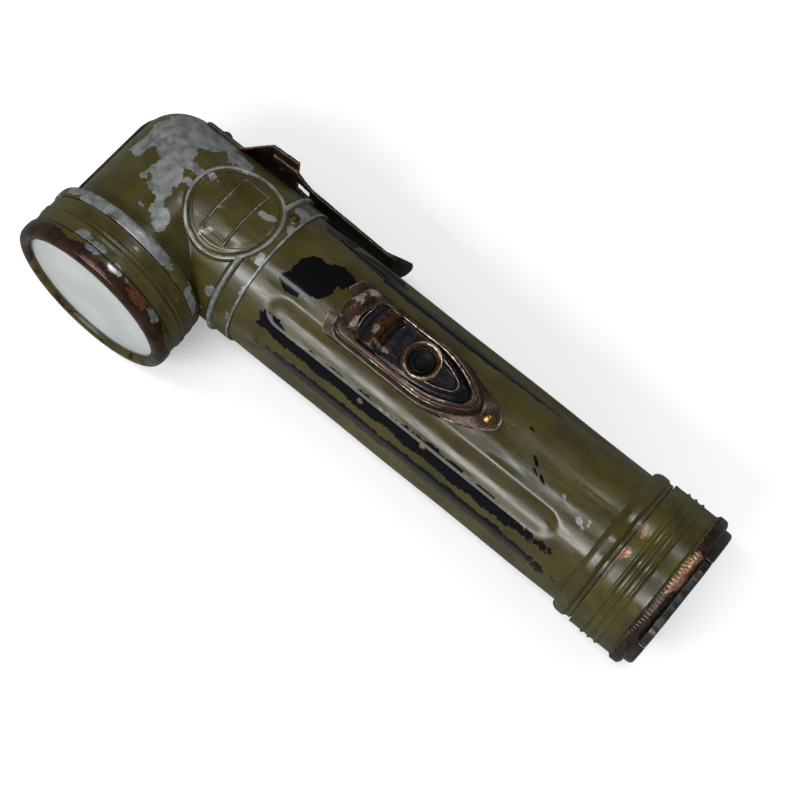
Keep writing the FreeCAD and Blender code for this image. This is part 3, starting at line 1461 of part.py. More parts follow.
def rest_shift():
    """From the bench frame to the rest frame, whose origin is under the middle, on the table."""
    middle_x = (END_PLATE_X - RING_RIM_R) / 2
    middle_y = (clip_tip_y() - RING_FRONT) / 2
    return V(-middle_x, -middle_y, RING_RIM_R)


def clip_tip_y():
    """The lamp's furthest point at the back, the curled tip of the belt clip."""
    return belt_clip().BoundBox.YMax


os.makedirs("parts", exist_ok=True)
pieces = build()
shift = rest_shift()
for name, shape in pieces.items():
    placed = shape.copy()
    placed.translate(shift)
    placed.exportStep("parts/" + name + ".step")
    print(name, "solids", len(placed.Solids), "volume", round(placed.Volume, 2), placed.isValid())
print("rest shift", shift)
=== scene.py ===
"""Right-angle signal lamp: its looks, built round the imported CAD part.

Shapes are worked out in millimetres on the lamp's own bench: the origin is where the tube axis
crosses the lens axis, +X runs to the tail, -Y is the way the lens faces, +Z is the switch side.
"""
import math

import bmesh
import bpy
import numpy as np
from mathutils import Matrix, Vector


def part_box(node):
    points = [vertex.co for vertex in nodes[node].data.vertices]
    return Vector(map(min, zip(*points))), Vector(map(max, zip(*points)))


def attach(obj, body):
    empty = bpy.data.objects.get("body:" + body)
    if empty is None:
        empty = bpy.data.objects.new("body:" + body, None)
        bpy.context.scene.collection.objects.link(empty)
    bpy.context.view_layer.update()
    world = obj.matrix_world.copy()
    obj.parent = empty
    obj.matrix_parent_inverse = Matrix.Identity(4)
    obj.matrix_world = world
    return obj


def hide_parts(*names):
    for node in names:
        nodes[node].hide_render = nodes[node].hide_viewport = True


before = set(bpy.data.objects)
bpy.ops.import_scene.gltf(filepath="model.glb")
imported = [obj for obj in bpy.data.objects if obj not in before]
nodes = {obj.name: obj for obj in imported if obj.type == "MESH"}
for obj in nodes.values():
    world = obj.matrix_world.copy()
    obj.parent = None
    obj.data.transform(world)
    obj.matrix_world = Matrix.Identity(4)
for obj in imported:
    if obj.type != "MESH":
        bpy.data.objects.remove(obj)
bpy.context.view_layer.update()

MM = 0.001


def box_mm(node):
    """A CAD node's lowest and highest corners at rest, in millimetres."""
    low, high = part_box(node)
    return np.array(low) / MM, np.array(high) / MM


RING_LOW, RING_HIGH = box_mm("lens_ring")
CAP_LOW, CAP_HIGH = box_mm("tail_cap")
ORIGIN = np.array([RING_LOW[0] + RING_HIGH[0], CAP_LOW[1] + CAP_HIGH[1], CAP_LOW[2] + CAP_HIGH[2]]) / 2

# Driving sizes on the bench, in millimetres
FIT = 0.05
TUBE_R = 19.0
TUBE_WALL = 0.6
TUBE_HEAD_X = 23.5
TUBE_TAIL_X = 150.0
TUBE_CLOCK = math.radians(4.5)
HEAD_R = TUBE_R + FIT + 0.5
HEAD_WALL = 0.5
HEAD_TAIL_X = 31.0
NECK_END = 24.0
CORNER_SHARE = 11.8 / HEAD_R
CREASE = 0.9
HEAD_SPREAD = 1.1
SEAM_LIP = 0.95
RING_R = (RING_HIGH[0] - RING_LOW[0]) / 2
RING_FRONT = ORIGIN[1] - RING_LOW[1]
RING_BACK = ORIGIN[1] - RING_HIGH[1]
CAP_HEAD_X = CAP_LOW[0] - ORIGIN[0]
CAP_END_X = CAP_HIGH[0] - ORIGIN[0]
CAP_RIM_R = (CAP_HIGH[2] - CAP_LOW[2]) / 2
CAP_R = CAP_RIM_R - 0.8
BUTTON_X = 76.0
BUTTON_CENTRE = np.array([BUTTON_X, 0.0])
HOUSING_TOP = TUBE_R + 2.7
DECK = HOUSING_TOP - 0.4
WELL_R = 3.4
GUARD_R = 5.15
GUARD_TOP = HOUSING_TOP + 1.3
BUTTON_TOP = GUARD_TOP - 0.9
MEDALLION = (16.5, 0.0)
MEDALLION_R = 12.0

# How far to each side of a patch's outline its map reaches, in millimetres
PATCH_REACH = 6.0

# A profile corner's usual radius in millimetres, and the most of an edge that a corner takes
PLAIN_CORNER = 0.15
CORNER_REACH = 0.48


# ---- numbers

def step_between(value, low, high):
    """A smooth step from 0 at low to 1 at high."""
    t = np.clip((value - low) / (high - low), 0, 1)
    return t * t * (3 - 2 * t)


def bump(value, half):
    """A round swelling of height 1 at 0 that dies away at the half width."""
    return 0.5 + 0.5 * np.cos(np.pi * np.clip(value / half, -1, 1))


def smooth_min(a, b, width):
    """The lesser of two distances, with the crease between them filled."""
    share = np.clip(0.5 + 0.5 * (b - a) / width, 0, 1)
    return b * (1 - share) + a * share - width * share * (1 - share)


def ripple(u, v, size, seed):
    """A soft seeded unevenness from -1 to 1 whose waves are about size long."""
    rng = np.random.default_rng(seed)
    total = 0
    for _ in range(7):
        angle, phase = rng.uniform(0, 2 * math.pi, 2)
        wave = 2 * math.pi / (size * rng.uniform(0.7, 1.8))
        total = total + np.sin(wave * (u * math.cos(angle) + v * math.sin(angle)) + phase)
    return total / 4


def soft_line(points, closed, longest=0.45):
    """A line through (along, across, corner radius) points with its corners rounded, divided evenly."""
    points = [p if len(p) == 3 else (*p, PLAIN_CORNER) for p in points]
    count = len(points)
    out = []
    for i, (a, b, radius) in enumerate(points):
        here = np.array([a, b])
        if not closed and i in (0, count - 1):
            out.append(here)
            continue
        before = np.array(points[i - 1][:2])
        after = np.array(points[(i + 1) % count][:2])
        reach_in = np.linalg.norm(before - here)
        reach_out = np.linalg.norm(after - here)
        reach = min(radius, CORNER_REACH * reach_in, CORNER_REACH * reach_out)
        start = here + (before - here) / reach_in * reach
        end = here + (after - here) / reach_out * reach
        for t in (0, 0.25, 0.5, 0.75, 1):
            out.append((1 - t) ** 2 * start + 2 * t * (1 - t) * here + t * t * end)
    if closed:
        out.append(out[0])
    line = [out[0]]
    for here in out[1:]:
        length = np.linalg.norm(here - line[-1])
        if length < 1e-4:
            continue
        parts = max(1, math.ceil(length / longest))
        last = line[-1]
        line += [last + (here - last) * k / parts for k in range(1, parts + 1)]
    line = np.array(line[:-1] if closed else line)
    return line[:, 0], line[:, 1]


# ---- meshes

def new_object(name, points, faces):
    """A smooth-shaded mesh object from bench millimetres."""
    mesh = bpy.data.meshes.new(name)
    mesh.from_pydata(((points + ORIGIN) * MM).tolist(), [], faces)
    mesh.shade_smooth()
    mesh.update()
    obj = bpy.data.objects.new(name, mesh)
    bpy.context.scene.collection.objects.link(obj)
    return obj


def closed_object(name, points, faces):
    """A mesh object without loose vertices, whose faces all look outward."""
    obj = new_object(name, points, faces)
    shape = bmesh.new()
    shape.from_mesh(obj.data)
    loose = [v for v in shape.verts if not v.link_faces]
    bmesh.ops.delete(shape, geom=loose, context="VERTS")
    bmesh.ops.recalc_face_normals(shape, faces=shape.faces)
    shape.to_mesh(obj.data)
    shape.free()
    obj.data.update()
    return obj


def grid_faces(index, wrap_rows, wrap_columns, flip=False):
    """Faces over a grid of vertex numbers, with any that have shrunk to a line left out."""
    if wrap_rows:
        index = np.vstack([index, index[:1]])
    if wrap_columns:
        index = np.hstack([index, index[:, :1]])
    quads = np.stack([index[:-1, :-1], index[1:, :-1], index[1:, 1:], index[:-1, 1:]], -1)
    quads = quads.reshape(-1, 4)
    if flip:
        quads = quads[:, ::-1]
    faces = []
    for quad in quads.tolist():
        corners = list(dict.fromkeys(quad))
        if len(corners) > 2:
            faces.append(corners)
    return faces


def turned(name, line, axis, segments, shape=None):
    """A piece turned about an axis from a closed line, or from one that ends on the axis.

    The axis is (point on it, direction, first side); shape may change the radius by (s, r, turn).
    """
    s, r = (part[:, None] for part in line)
    poles = [row for row in (0, len(r) - 1) if r[row, 0] < 1e-6]
    turn = np.arange(segments)[None, :] * 2 * math.pi / segments
    along, radius, turn = (np.array(grid) for grid in np.broadcast_arrays(s, r, turn))
    if shape is not None:
        radius = shape(along, radius, turn)
    point, direction, side = (np.array(v, float) for v in axis)
    outward = np.cos(turn)[..., None] * side + np.sin(turn)[..., None] * np.cross(direction, side)
    points = point + along[..., None] * direction + radius[..., None] * outward
    index = np.arange(radius.size).reshape(radius.shape)
    for row in poles:
        index[row] = index[row, 0]
    used, renumbered = np.unique(index, return_inverse=True)
    faces = grid_faces(renumbered.reshape(index.shape), not poles, True)
    return closed_object(name, points.reshape(-1, 3)[used], faces)


def shell(name, outer, inner, wrap):
    """A sheet between two grids of points, closed along its open edges."""
    rows, columns = outer.shape[:2]
    top = np.arange(rows * columns).reshape(rows, columns)
    under = top + rows * columns
    faces = grid_faces(top, False, wrap) + grid_faces(under, False, wrap, True)
    faces += grid_faces(np.stack([under[0], top[0]]), False, wrap)
    faces += grid_faces(np.stack([top[-1], under[-1]]), False, wrap)
    if not wrap:
        faces += grid_faces(np.stack([top[:, 0], under[:, 0]]), False, False)
        faces += grid_faces(np.stack([under[:, -1], top[:, -1]]), False, False)
    points = np.concatenate([outer.reshape(-1, 3), inner.reshape(-1, 3)])
    return closed_object(name, points, faces)


def softened(node, name, voxel, rounds):
    """A copy of a CAD node with its sharp edges rolled, as pressed and worn sheet has them."""
    obj = bpy.data.objects.new(name, nodes[node].data.copy())
    obj.data.materials.clear()
    bpy.context.scene.collection.objects.link(obj)
    remesh = obj.modifiers.new("remesh", "REMESH")
    remesh.mode = "VOXEL"
    remesh.voxel_size = voxel * MM
    smooth = obj.modifiers.new("smooth", "SMOOTH")
    smooth.factor = 0.5
    smooth.iterations = rounds
    bpy.context.view_layer.update()
    depsgraph = bpy.context.evaluated_depsgraph_get()
    mesh = bpy.data.meshes.new_from_object(obj.evaluated_get(depsgraph))
    obj.modifiers.clear()
    obj.data = mesh
    mesh.shade_smooth()
    return obj


def read(obj):
    """Vertex places in bench millimetres, and vertex normals."""
    count = len(obj.data.vertices)
    places = np.zeros(count * 3, np.float32)
    obj.data.vertices.foreach_get("co", places)
    normals = np.zeros(count * 3, np.float32)
    obj.data.vertex_normals.foreach_get("vector", normals)
    return places.reshape(-1, 3) / MM - ORIGIN, normals.reshape(-1, 3)


def write_attribute(obj, name, values):
    """Stores one number at each vertex for the materials."""
    attribute = obj.data.attributes.new(name, "FLOAT", "POINT")
    attribute.data.foreach_set("value", np.asarray(values, np.float32))


def mark_bends(obj, rounds):
    """Stores how sharply the surface bends at each vertex, in 1/mm: above 0 on ridges and edges."""
    places, normals = read(obj)
    count = len(places)
    ends = np.zeros(len(obj.data.edges) * 2, np.int32)
    obj.data.edges.foreach_get("vertices", ends)
    a, b = ends.reshape(-1, 2).T
    gap = places[b] - places[a]
    squared = np.maximum((gap ** 2).sum(1), 1e-6)
    shares = np.maximum(np.bincount(ends, minlength=count), 1)
    bends = np.bincount(a, -2 * (normals[a] * gap).sum(1) / squared, count)
    bends += np.bincount(b, 2 * (normals[b] * gap).sum(1) / squared, count)
    bends = np.clip(bends / shares, -4, 4)
    for _ in range(rounds):
        around = np.bincount(a, bends[b], count) + np.bincount(b, bends[a], count)
        bends = 0.4 * bends + 0.6 * around / shares
    write_attribute(obj, "bend", bends)


def write_depth(obj, name, depth):
    """Stores how deep in a patch each vertex lies, in mm, with PATCH_REACH on the outline."""
    write_attribute(obj, name, np.clip(depth, -PATCH_REACH, PATCH_REACH) + PATCH_REACH)


def mark_patches(obj, u, v, side=True, **maps):
    """Stores each named map of patches, which lie only on the given side.

    A patch is (u, v, half length, half width, tilt in degrees).
    """
    for name, patches in maps.items():
        depth = np.full(len(u), -PATCH_REACH)
        for place_u, place_v, half_u, half_v, tilt in patches:
            c, s = math.cos(math.radians(tilt)), math.sin(math.radians(tilt))
            du, dv = u - place_u, v - place_v
            away = np.hypot((du * c + dv * s) / half_u, (dv * c - du * s) / half_v)
            depth = np.maximum(depth, (1 - away) * min(half_u, half_v))
        write_depth(obj, name, np.where(side, depth, -PATCH_REACH))


def dress(obj, body, material, replaced, rounds=2):
    """Says what a new piece rides on, its finish, its material and the CAD node it stands for."""
    mark_bends(obj, rounds)
    obj.data.materials.append(material)
    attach(obj, body)
    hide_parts(replaced)


def finish_node(node, material):
    """Gives a CAD node that stays in view its material."""
    obj = nodes[node]
    if not obj.material_slots:
        obj.data.materials.append(material)
    for place in obj.material_slots:
        place.material = material


# ---- materials

def linear(red, green, blue):
    """A colour written in 0-255 screen values, as the shader wants it."""
    def one(value):
        value /= 255
        return value / 12.92 if value <= 0.04045 else ((value + 0.055) / 1.055) ** 2.4

    return (one(red), one(green), one(blue), 1.0)


# Colours in 0-255 screen values
OLIVE = (72, 66, 29)
OLIVE_DARK = (55, 50, 21)
OLIVE_LIGHT = (92, 86, 46)
OLIVE_TONES = (OLIVE_DARK, OLIVE)
CLIP_TONES = ((27, 22, 14), (44, 36, 22))
END_TONES = ((20, 20, 13), (38, 35, 20))
SEAM_TONES = ((30, 29, 18), (50, 47, 27))
BARE = (150, 153, 150)
BARE_DARK = (104, 108, 109)
COPPER = (140, 104, 76)
COPPER_BROWN = (84, 60, 42)
BROWN_LIGHT = (74, 55, 41)
BROWN_DARK = (40, 28, 21)
# Bright worn metal on rubbed edges, light enough to be a painted glint as well
WORN_EDGE_GLINT = (206, 180, 156)
# Painted shade for creases and hollows
HOLLOW_SHADE = (17, 13, 9)
# Black paint, also used as painted dark reflection on the barrel
NEAR_BLACK = (13, 13, 16)
WHITE = (255, 255, 255)


class Wiring:
    """A node tree being built; its methods return a node, or a socket to plug in."""

    def __init__(self, tree):
        self.tree = tree
        tree.nodes.clear()

    def plug(self, socket, value):
        """Links a socket to another or sets its value, where a colour is in 0-255 screen values."""
        if isinstance(value, bpy.types.NodeSocket):
            self.tree.links.new(value, socket)
        elif socket.type == "RGBA":
            socket.default_value = linear(*value)
        else:
            socket.default_value = value

    def node(self, kind, *given, setting=None, **named):
        """A new node with a setting made and its sockets plugged, in order or by name."""
        node = self.tree.nodes.new("ShaderNode" + kind)
        if setting is not None:
            setattr(node, *setting)
        for socket, value in zip(node.inputs, given):
            self.plug(socket, value)
        for name, value in named.items():
            self.plug(node.inputs[name.replace("_", " ")], value)
        return node

    def math(self, operation, *values):
        return self.node("Math", *values, setting=("operation", operation)).outputs[0]


class Finish(Wiring):
    """A procedural material being built."""

    def __init__(self, name):
        self.material = bpy.data.materials.new(name)
        self.material.use_nodes = True
        super().__init__(self.material.node_tree)
        self.shader = self.node("BsdfPrincipled")
        self.output = self.node("OutputMaterial", self.shader.outputs[0])
        place = self.node("TexCoord").outputs["Object"]
        scaled = self.node("VectorMath", place, setting=("operation", "SCALE"), Scale=1 / MM)
        self.place = scaled.outputs[0]

    def set(self, **values):
        """Plugs the shader's own sockets and returns the material."""
        for name, value in values.items():
            self.plug(self.shader.inputs[name.replace("_", " ")], value)
        return self.material

    def noise(self, size, detail=3.0, roughness=0.55, shift=0.0, stretch=(1, 1, 1)):
        """Cloudy noise about 0.5 whose blotches are about size mm."""
        start = (shift, shift * 1.7, shift * 0.6)
        moved = self.node("Mapping", Vector=self.place, Location=start, Scale=stretch).outputs[0]
        cloud = self.node("TexNoise", Vector=moved, Scale=1 / size, Detail=detail, Roughness=roughness)
        return cloud.outputs["Fac"]

    def add(self, a, b):
        return self.math("ADD", a, b)

    def times(self, a, b):
        return self.math("MULTIPLY", a, b)

    def most(self, first, *others):
        """The greatest of several numbers."""
        for other in others:
            first = self.math("MAXIMUM", first, other)
        return first

    def step(self, value, low, high, start=0.0, end=1.0):
        """A smooth change from start, where the value is low, to end, where it is high."""
        smooth = ("interpolation_type", "SMOOTHSTEP")
        return self.node("MapRange", value, low, high, start, end, setting=smooth).outputs["Result"]

    def attribute(self, name):
        return self.node("Attribute", setting=("attribute_name", name)).outputs["Fac"]

    def blend(self, share, a, b, kind="RGBA"):
        """Colour a, changing to colour b by the share."""
        return self.node("Mix", setting=("data_type", kind), Factor=share, A=a, B=b).outputs["Result"]

    def between(self, share, a, b):
        """Number a, changing to number b by the share."""
        return self.blend(share, a, b, "FLOAT")

    def relief(self, height, distance, strength=0.7):
        """Fine relief in mm on the shader's normal."""
        raised = self.node("Bump", Strength=strength, Distance=distance * MM, Height=height)
        self.set(Normal=raised.outputs[0])

    def aged(self, size, shift, dark, light):
        """A cloudy mixture of two tones."""
        return self.blend(self.step(self.noise(size, 4, 0.6, shift), 0.32, 0.68), dark, light)

    def ragged(self, shift, lobes, nicks):
        """Unevenness in mm for the outline of a flaked patch: broad lobes and small nicks."""
        big = self.math("SUBTRACT", self.noise(5.0, 1, 0.5, shift), 0.5)
        small = self.math("SUBTRACT", self.noise(1.1, 2, 0.6, shift + 31), 0.5)
        return self.add(self.times(big, 6 * lobes), self.times(small, 6 * nicks))

    def patch(self, name, rag):
        """1 inside the patches of a map, whose outlines the raggedness moves."""
        return self.step(self.add(self.attribute(name), rag), PATCH_REACH - 0.1, PATCH_REACH + 0.1)

    def rubbed(self, nick, edge, soft):
        """1 on ridges and edges that bend more sharply than edge, in 1/mm."""
        return self.step(self.add(self.attribute("bend"), nick), edge, edge + soft)

    def hollow_shade(self, colour, start, end, share, tone=HOLLOW_SHADE):
        """A colour that goes over to a dark tone by the share where the surface bends inward: painted shade
        in creases and hollows.
        """
        return self.blend(self.times(self.step(self.attribute("bend"), start, end), share), colour, tone)


def worn_paint(name, shift=0.0, tones=OLIVE_TONES, edge=1.2, brown=0.3, specks=0.0):
    """Glossy paint over metal, flaked where the maps say and worn along ridges and edges.

    edge is how sharp a bend must be to wear through, in 1/mm; brown is how much of the worn
    metal is brown instead of grey; specks is how many stray flakes there are.
    """
    f = Finish(name)
    nick = f.ragged(shift + 7, 0.15, 0.22)
    ridge = f.step(f.add(f.attribute("ridge"), f.times(nick, 0.5)), 0.48, 0.62)
    worn = f.most(f.rubbed(nick, edge, 0.3), ridge)
    bare = f.patch("bare", f.ragged(shift, 1.0, 0.3))
    copper = f.patch("copper", nick)
    # Black patches and flecks; on the barrel the long bands are painted dark reflection
    black = f.most(f.patch("dark", f.ragged(shift + 2, 0.3, 0.3)), f.patch("fleck", nick))
    if specks > 0:
        rarity = 0.79 - specks * 0.09
        bare = f.most(bare, f.step(f.noise(1.7, 2, 0.5, shift + 57), rarity, rarity + 0.01))
    naked = f.most(bare, worn, copper)

    grey = f.aged(2.6, shift + 13, BARE_DARK, BARE)
    rust = f.aged(0.9, shift + 11, COPPER_BROWN, COPPER)
    turning = 0.82 - 0.5 * brown
    rub_colour = f.blend(f.step(f.noise(6.0, 2, 0.5, shift + 17), turning, turning + 0.04), grey, rust)
    grain = f.noise(0.9, 3, 0.6, shift + 5)
    colour = f.aged(13.0, shift + 3, *tones)
    if tones is OLIVE_TONES:
        colour = f.blend(f.times(f.step(grain, 0.5, 0.8), 0.25), colour, OLIVE_LIGHT)
    # Painted shade: darker where the surface bends into creases and hollows
    colour = f.hollow_shade(colour, -0.15, -0.9, 0.7)
    for share, tone in ((black, NEAR_BLACK), (copper, rust), (worn, rub_colour), (bare, grey)):
        colour = f.blend(share, colour, tone)

    streaks = f.noise(3.2, 4, 0.6, shift + 19, (0.22, 1, 1))
    paint_rough = f.between(black, f.step(streaks, 0.34, 0.68, 0.16, 0.42), 0.1)
    rough = f.between(naked, paint_rough, f.between(grain, 0.28, 0.5))
    peel = f.times(f.noise(1.3, 2, 0.5, shift + 23), 0.35)
    f.relief(f.add(f.times(naked, -0.6), peel), 0.035)
    gloss = f.between(black, 0.5, 0.2)
    return f.set(Base_Color=colour, Metallic=f.times(naked, 0.4), Roughness=rough, Specular_IOR_Level=gloss)


def worn_copper(name, shift, edge):
    """Copper-washed steel gone brown and pitted, with its rubbed edges worn to bright metal that also
    stands as a painted glint.
    """
    f = Finish(name)
    nick = f.ragged(shift, 0.3, 0.3)
    rubbed = f.rubbed(nick, edge, 0.7)
    pits = f.noise(0.45, 3, 0.65, shift + 15)
    colour = f.aged(3.2, shift + 2, BROWN_DARK, BROWN_LIGHT)
    colour = f.blend(f.times(f.step(pits, 0.58, 0.7), 0.35), colour, (132, 112, 94))
    grey = f.aged(1.8, shift + 5, (112, 104, 96), (156, 150, 140))
    colour = f.blend(f.patch("bare", nick), colour, grey)
    colour = f.blend(f.patch("dark", nick), colour, (34, 25, 21))
    colour = f.blend(f.patch("copper", f.ragged(shift + 4, 0.5, 0.4)), colour, (74, 43, 29))
    # Painted shade in the hollows
    # Rubbed edges: worn metal, painted bright as a glint
    colour = f.hollow_shade(f.blend(rubbed, colour, WORN_EDGE_GLINT), -0.1, -0.8, 0.85)
    f.relief(f.add(f.times(pits, 0.5), f.noise(2.0, 4, 0.6, shift + 8)), 0.05)
    rough = f.step(pits, 0.3, 0.7, 0.18, 0.36)
    return f.set(Base_Color=colour, Metallic=f.between(rubbed, 0.4, 0.8), Roughness=rough)


def dark_lacquer(name, shift, edge):
    """Black lacquer with brown metal showing where thumbs rub it, and pale worn metal on its edges that
    also stands as a painted glint.
    """
    f = Finish(name)
    nick = f.ragged(shift, 0.25, 0.25)
    rubbed = f.rubbed(nick, edge, 0.5)
    copper = f.patch("copper", nick)
    grey = f.patch("bare", nick)
    colour = f.aged(2.0, shift + 4, (13, 14, 17), (26, 26, 31))
    colour = f.blend(copper, colour, f.aged(0.9, shift + 6, (44, 29, 22), (92, 60, 43)))
    colour = f.blend(grey, colour, f.aged(1.1, shift + 9, (118, 108, 100), (168, 158, 148)))
    # Rubbed edges: worn metal, painted bright as a glint
    colour = f.blend(rubbed, colour, f.aged(1.4, shift + 12, (124, 104, 88), WORN_EDGE_GLINT))
    # Painted shade: darker where the surface bends into creases and hollows
    colour = f.hollow_shade(colour, -0.1, -0.8, 0.7, (8, 7, 7))
    naked = f.most(rubbed, copper, grey)
    rough = f.between(naked, f.noise(2.0, 3, 0.6, shift + 14), 0.33)
    f.relief(f.noise(0.4, 3, 0.6, shift + 8), 0.025)
    rough = f.step(rough, 0.0, 1.0, 0.08, 0.42)
    return f.set(Base_Color=colour, Metallic=f.times(naked, 0.55), Roughness=rough)


def plain_metal(name, dark, light, size, low, high, relief=0.02, metallic=1.0, gloss=0.5):
    """Aged metal between two tones, with blotches of a size in mm and roughness from low to high."""
    f = Finish(name)
    colour = f.blend(f.step(f.noise(size, 5, 0.62), 0.32, 0.68), dark, light)
    rough = f.between(f.noise(size / 3, 3, 0.6, 5), low, high)
    f.relief(f.noise(size / 4, 3, 0.6, 9), relief, 0.6)
    return f.set(Base_Color=colour, Metallic=metallic, Roughness=rough, Specular_IOR_Level=gloss)


def plain_matt(*given, gloss=0.5):
    """A matt or satin non-metal, given as plain_metal is."""
    return plain_metal(*given, relief=0.03, metallic=0.0, gloss=gloss)


def lens_glass_finish():
    """Old clear glass, milky with haze."""
    f = Finish("lens_glass_finish")
    haze = f.noise(16.0, 3, 0.5, 4.0)
    colour = f.blend(f.step(haze, 0.35, 0.65), (202, 208, 207), (216, 221, 220))
    rough = f.between(haze, 0.08, 0.2)
    return f.set(Base_Color=colour, Roughness=rough, Transmission_Weight=0.12, IOR=1.5)


def clear_glass_finish():
    """Thin clear bulb glass with a little dust."""
    f = Finish("bulb_glass_finish")
    dust = f.noise(2.0, 4, 0.6, 9.0)
    colour = f.blend(dust, (236, 240, 240), (250, 250, 250))
    rough = f.between(dust, 0.02, 0.12)
    return f.set(Base_Color=colour, Roughness=rough, Transmission_Weight=0.95, IOR=1.48)


# ---- head

HEAD_PIVOT = HEAD_R + 1.2
COLLAR_X = HEAD_TAIL_X - 5.8
CARTOUCHE_HALF = (3.6, 8.4)


def head_relief(x, y, upper):
    """How far the head's beads stand out, and how much each is rubbed, from 0 to 1."""
    collar = bump(x - COLLAR_X, 1.25)
    edge = step_between(x, HEAD_TAIL_X - 0.75, HEAD_TAIL_X - 0.3)
    if not upper:
        return 0.9 * collar, np.maximum(collar, edge)
    from_x, from_y = x - MEDALLION[0], y - MEDALLION[1]
    inside = MEDALLION_R - np.hypot(from_x, from_y)
    collar = np.where(inside > -0.3, 0, collar)
    bead = bump(inside, 0.85)
    half_x, half_y = CARTOUCHE_HALF
    cartouche = bump(np.maximum(np.abs(from_x) - half_x, np.abs(from_y) - half_y), 0.45)
    groove = 0.2 * bump(inside - 1.3, 0.7)
    sunk = 0.1 * step_between(inside, 1.5, 3.0)
    rise = np.maximum(0.9 * collar, 0.55 * bead) + 0.26 * cartouche - groove - sunk
    return rise, np.maximum(np.maximum(collar, edge), np.maximum(bead, 0.62 * cartouche))


def head_distance(x, y):
    """Distance in plan from the elbow's middle line, as its round section sees it."""
    a, b = np.abs(x), np.abs(y)
    centre, radius = 1 - CORNER_SHARE, CORNER_SHARE
    square = 2 * centre ** 2 - radius ** 2
    total = a + b
    inside = np.maximum((2 * centre * total) ** 2 - 4 * square * (a * a + b * b), 0)
    corner = (2 * centre * total - np.sqrt(inside)) / (2 * square)
    on_arc = (a > centre * corner) & (b > centre * corner)
    outer = np.where(on_arc, corner, np.maximum(a, b))
    inner = smooth_min(a, b, CREASE)
    run = np.where(x > 0, b, a)
    return np.where((x < 0) & (y > 0), outer, np.where((x > 0) & (y < 0), inner, run))


def head_lines(fan, straight):
    """Start points and directions in plan of the lines across the elbow, from collar to neck."""
    lines = []
    for x in np.linspace(HEAD_TAIL_X, HEAD_PIVOT, straight, endpoint=False):
        lines.append(((x, -HEAD_PIVOT), (0, 1)))
    for angle in np.linspace(math.pi / 2, math.pi, fan):
        lines.append(((HEAD_PIVOT, -HEAD_PIVOT), (math.cos(angle), math.sin(angle))))
    for y in np.linspace(-HEAD_PIVOT, -NECK_END, max(3, straight // 3))[1:]:
        lines.append(((HEAD_PIVOT, y), (-1, 0)))
    starts, directions = zip(*lines)
    return np.array(starts), np.array(directions)


def crossing(starts, directions, near, far):
    """How far along each line the elbow's outline lies, between two distances on its two sides."""
    def is_outside(reach):
        return head_distance(*(starts + directions * reach[:, None]).T) > HEAD_R

    near, far = np.full(len(starts), near), np.full(len(starts), far)
    side = is_outside(near)
    for _ in range(40):
        middle = (near + far) / 2
        same = is_outside(middle) == side
        near = np.where(same, middle, near)
        far = np.where(same, far, middle)
    return (near + far) / 2


def bulge(x):
    """How far the head swells away from the tube at a bench x."""
    return -HEAD_SPREAD * step_between(-x, 2, HEAD_R)


def head_shell(name, upper, fan, straight, across):
    """One pressed half of the elbow."""
    starts, directions = head_lines(fan, straight)
    first = crossing(starts, directions, 0.05, 1.2 * HEAD_PIVOT)
    last = crossing(starts, directions, 1.2 * HEAD_PIVOT, 4 * HEAD_R)
    share = (1 - np.cos(np.linspace(0, math.pi, across))) / 2
    along = first[:, None] + (last - first)[:, None] * share
    plan = starts[:, None, :] + directions[:, None, :] * along[..., None]
    x, y = plan[..., 0], plan[..., 1]
    d = np.minimum(head_distance(x, y), HEAD_R)
    d[:, [0, -1]] = HEAD_R
    z = np.sqrt(np.maximum(HEAD_R ** 2 - d ** 2, 0))
    tiny = 0.02
    slope_x = (head_distance(x + tiny, y) - head_distance(x - tiny, y)) / (2 * tiny)
    slope_y = (head_distance(x, y + tiny) - head_distance(x, y - tiny)) / (2 * tiny)
    normal = np.stack([d * slope_x, d * slope_y, z], -1)
    normal /= np.linalg.norm(normal, axis=-1, keepdims=True)
    base = np.stack([x, y, z], -1)
    rise = head_relief(x, y, upper)[0] + 0.05 * ripple(x, y, 14, 5)
    outer = base + normal * rise[..., None]
    inner = base - normal * HEAD_WALL
    for sheet in (outer, inner):
        sheet[..., 0] += bulge(sheet[..., 0])
        if not upper:
            sheet[..., 2] *= -1
    return shell(name, outer, inner, False)


HEAD_BARE = [
    (-5.5, 11.5, 11.5, 6.6, 35),
    (-12.0, 3.0, 6.5, 2.6, 75),
    (-5.1, 3.2, 5.2, 4.6, 0),
    (-2.4, -4.0, 3.6, 5.6, 0),
    (0.6, -8.5, 2.6, 4.4, 15),
    (4.6, -13.0, 1.9, 2.6, 20),
    (8.0, 12.2, 5.5, 2.2, -15),
    (1.6, 1.6, 3.0, 1.2, 10),
    (-7.9, -14.8, 0.8, 0.8, 0),
    (-1.3, -14.4, 1.2, 0.6, 20),
    (3.2, -2.0, 0.9, 0.6, 0),
    (22.6, 3.4, 2.1, 1.3, 30),
    (13.0, -2.2, 1.1, 0.7, 40),
    (22.9, -0.9, 0.5, 0.4, 0),
    (19.2, -5.4, 0.6, 0.5, 0),
    (14.6, -8.2, 1.3, 0.7, 60),
    (29.9, 5.6, 1.3, 2.6, 0),
    (29.2, 10.4, 2.0, 1.8, 30),
    (30.2, -6.4, 1.2, 1.7, 0),
    (30.2, -13.9, 1.1, 2.2, 0),
    (23.2, -17.3, 0.5, 0.8, 0),
]


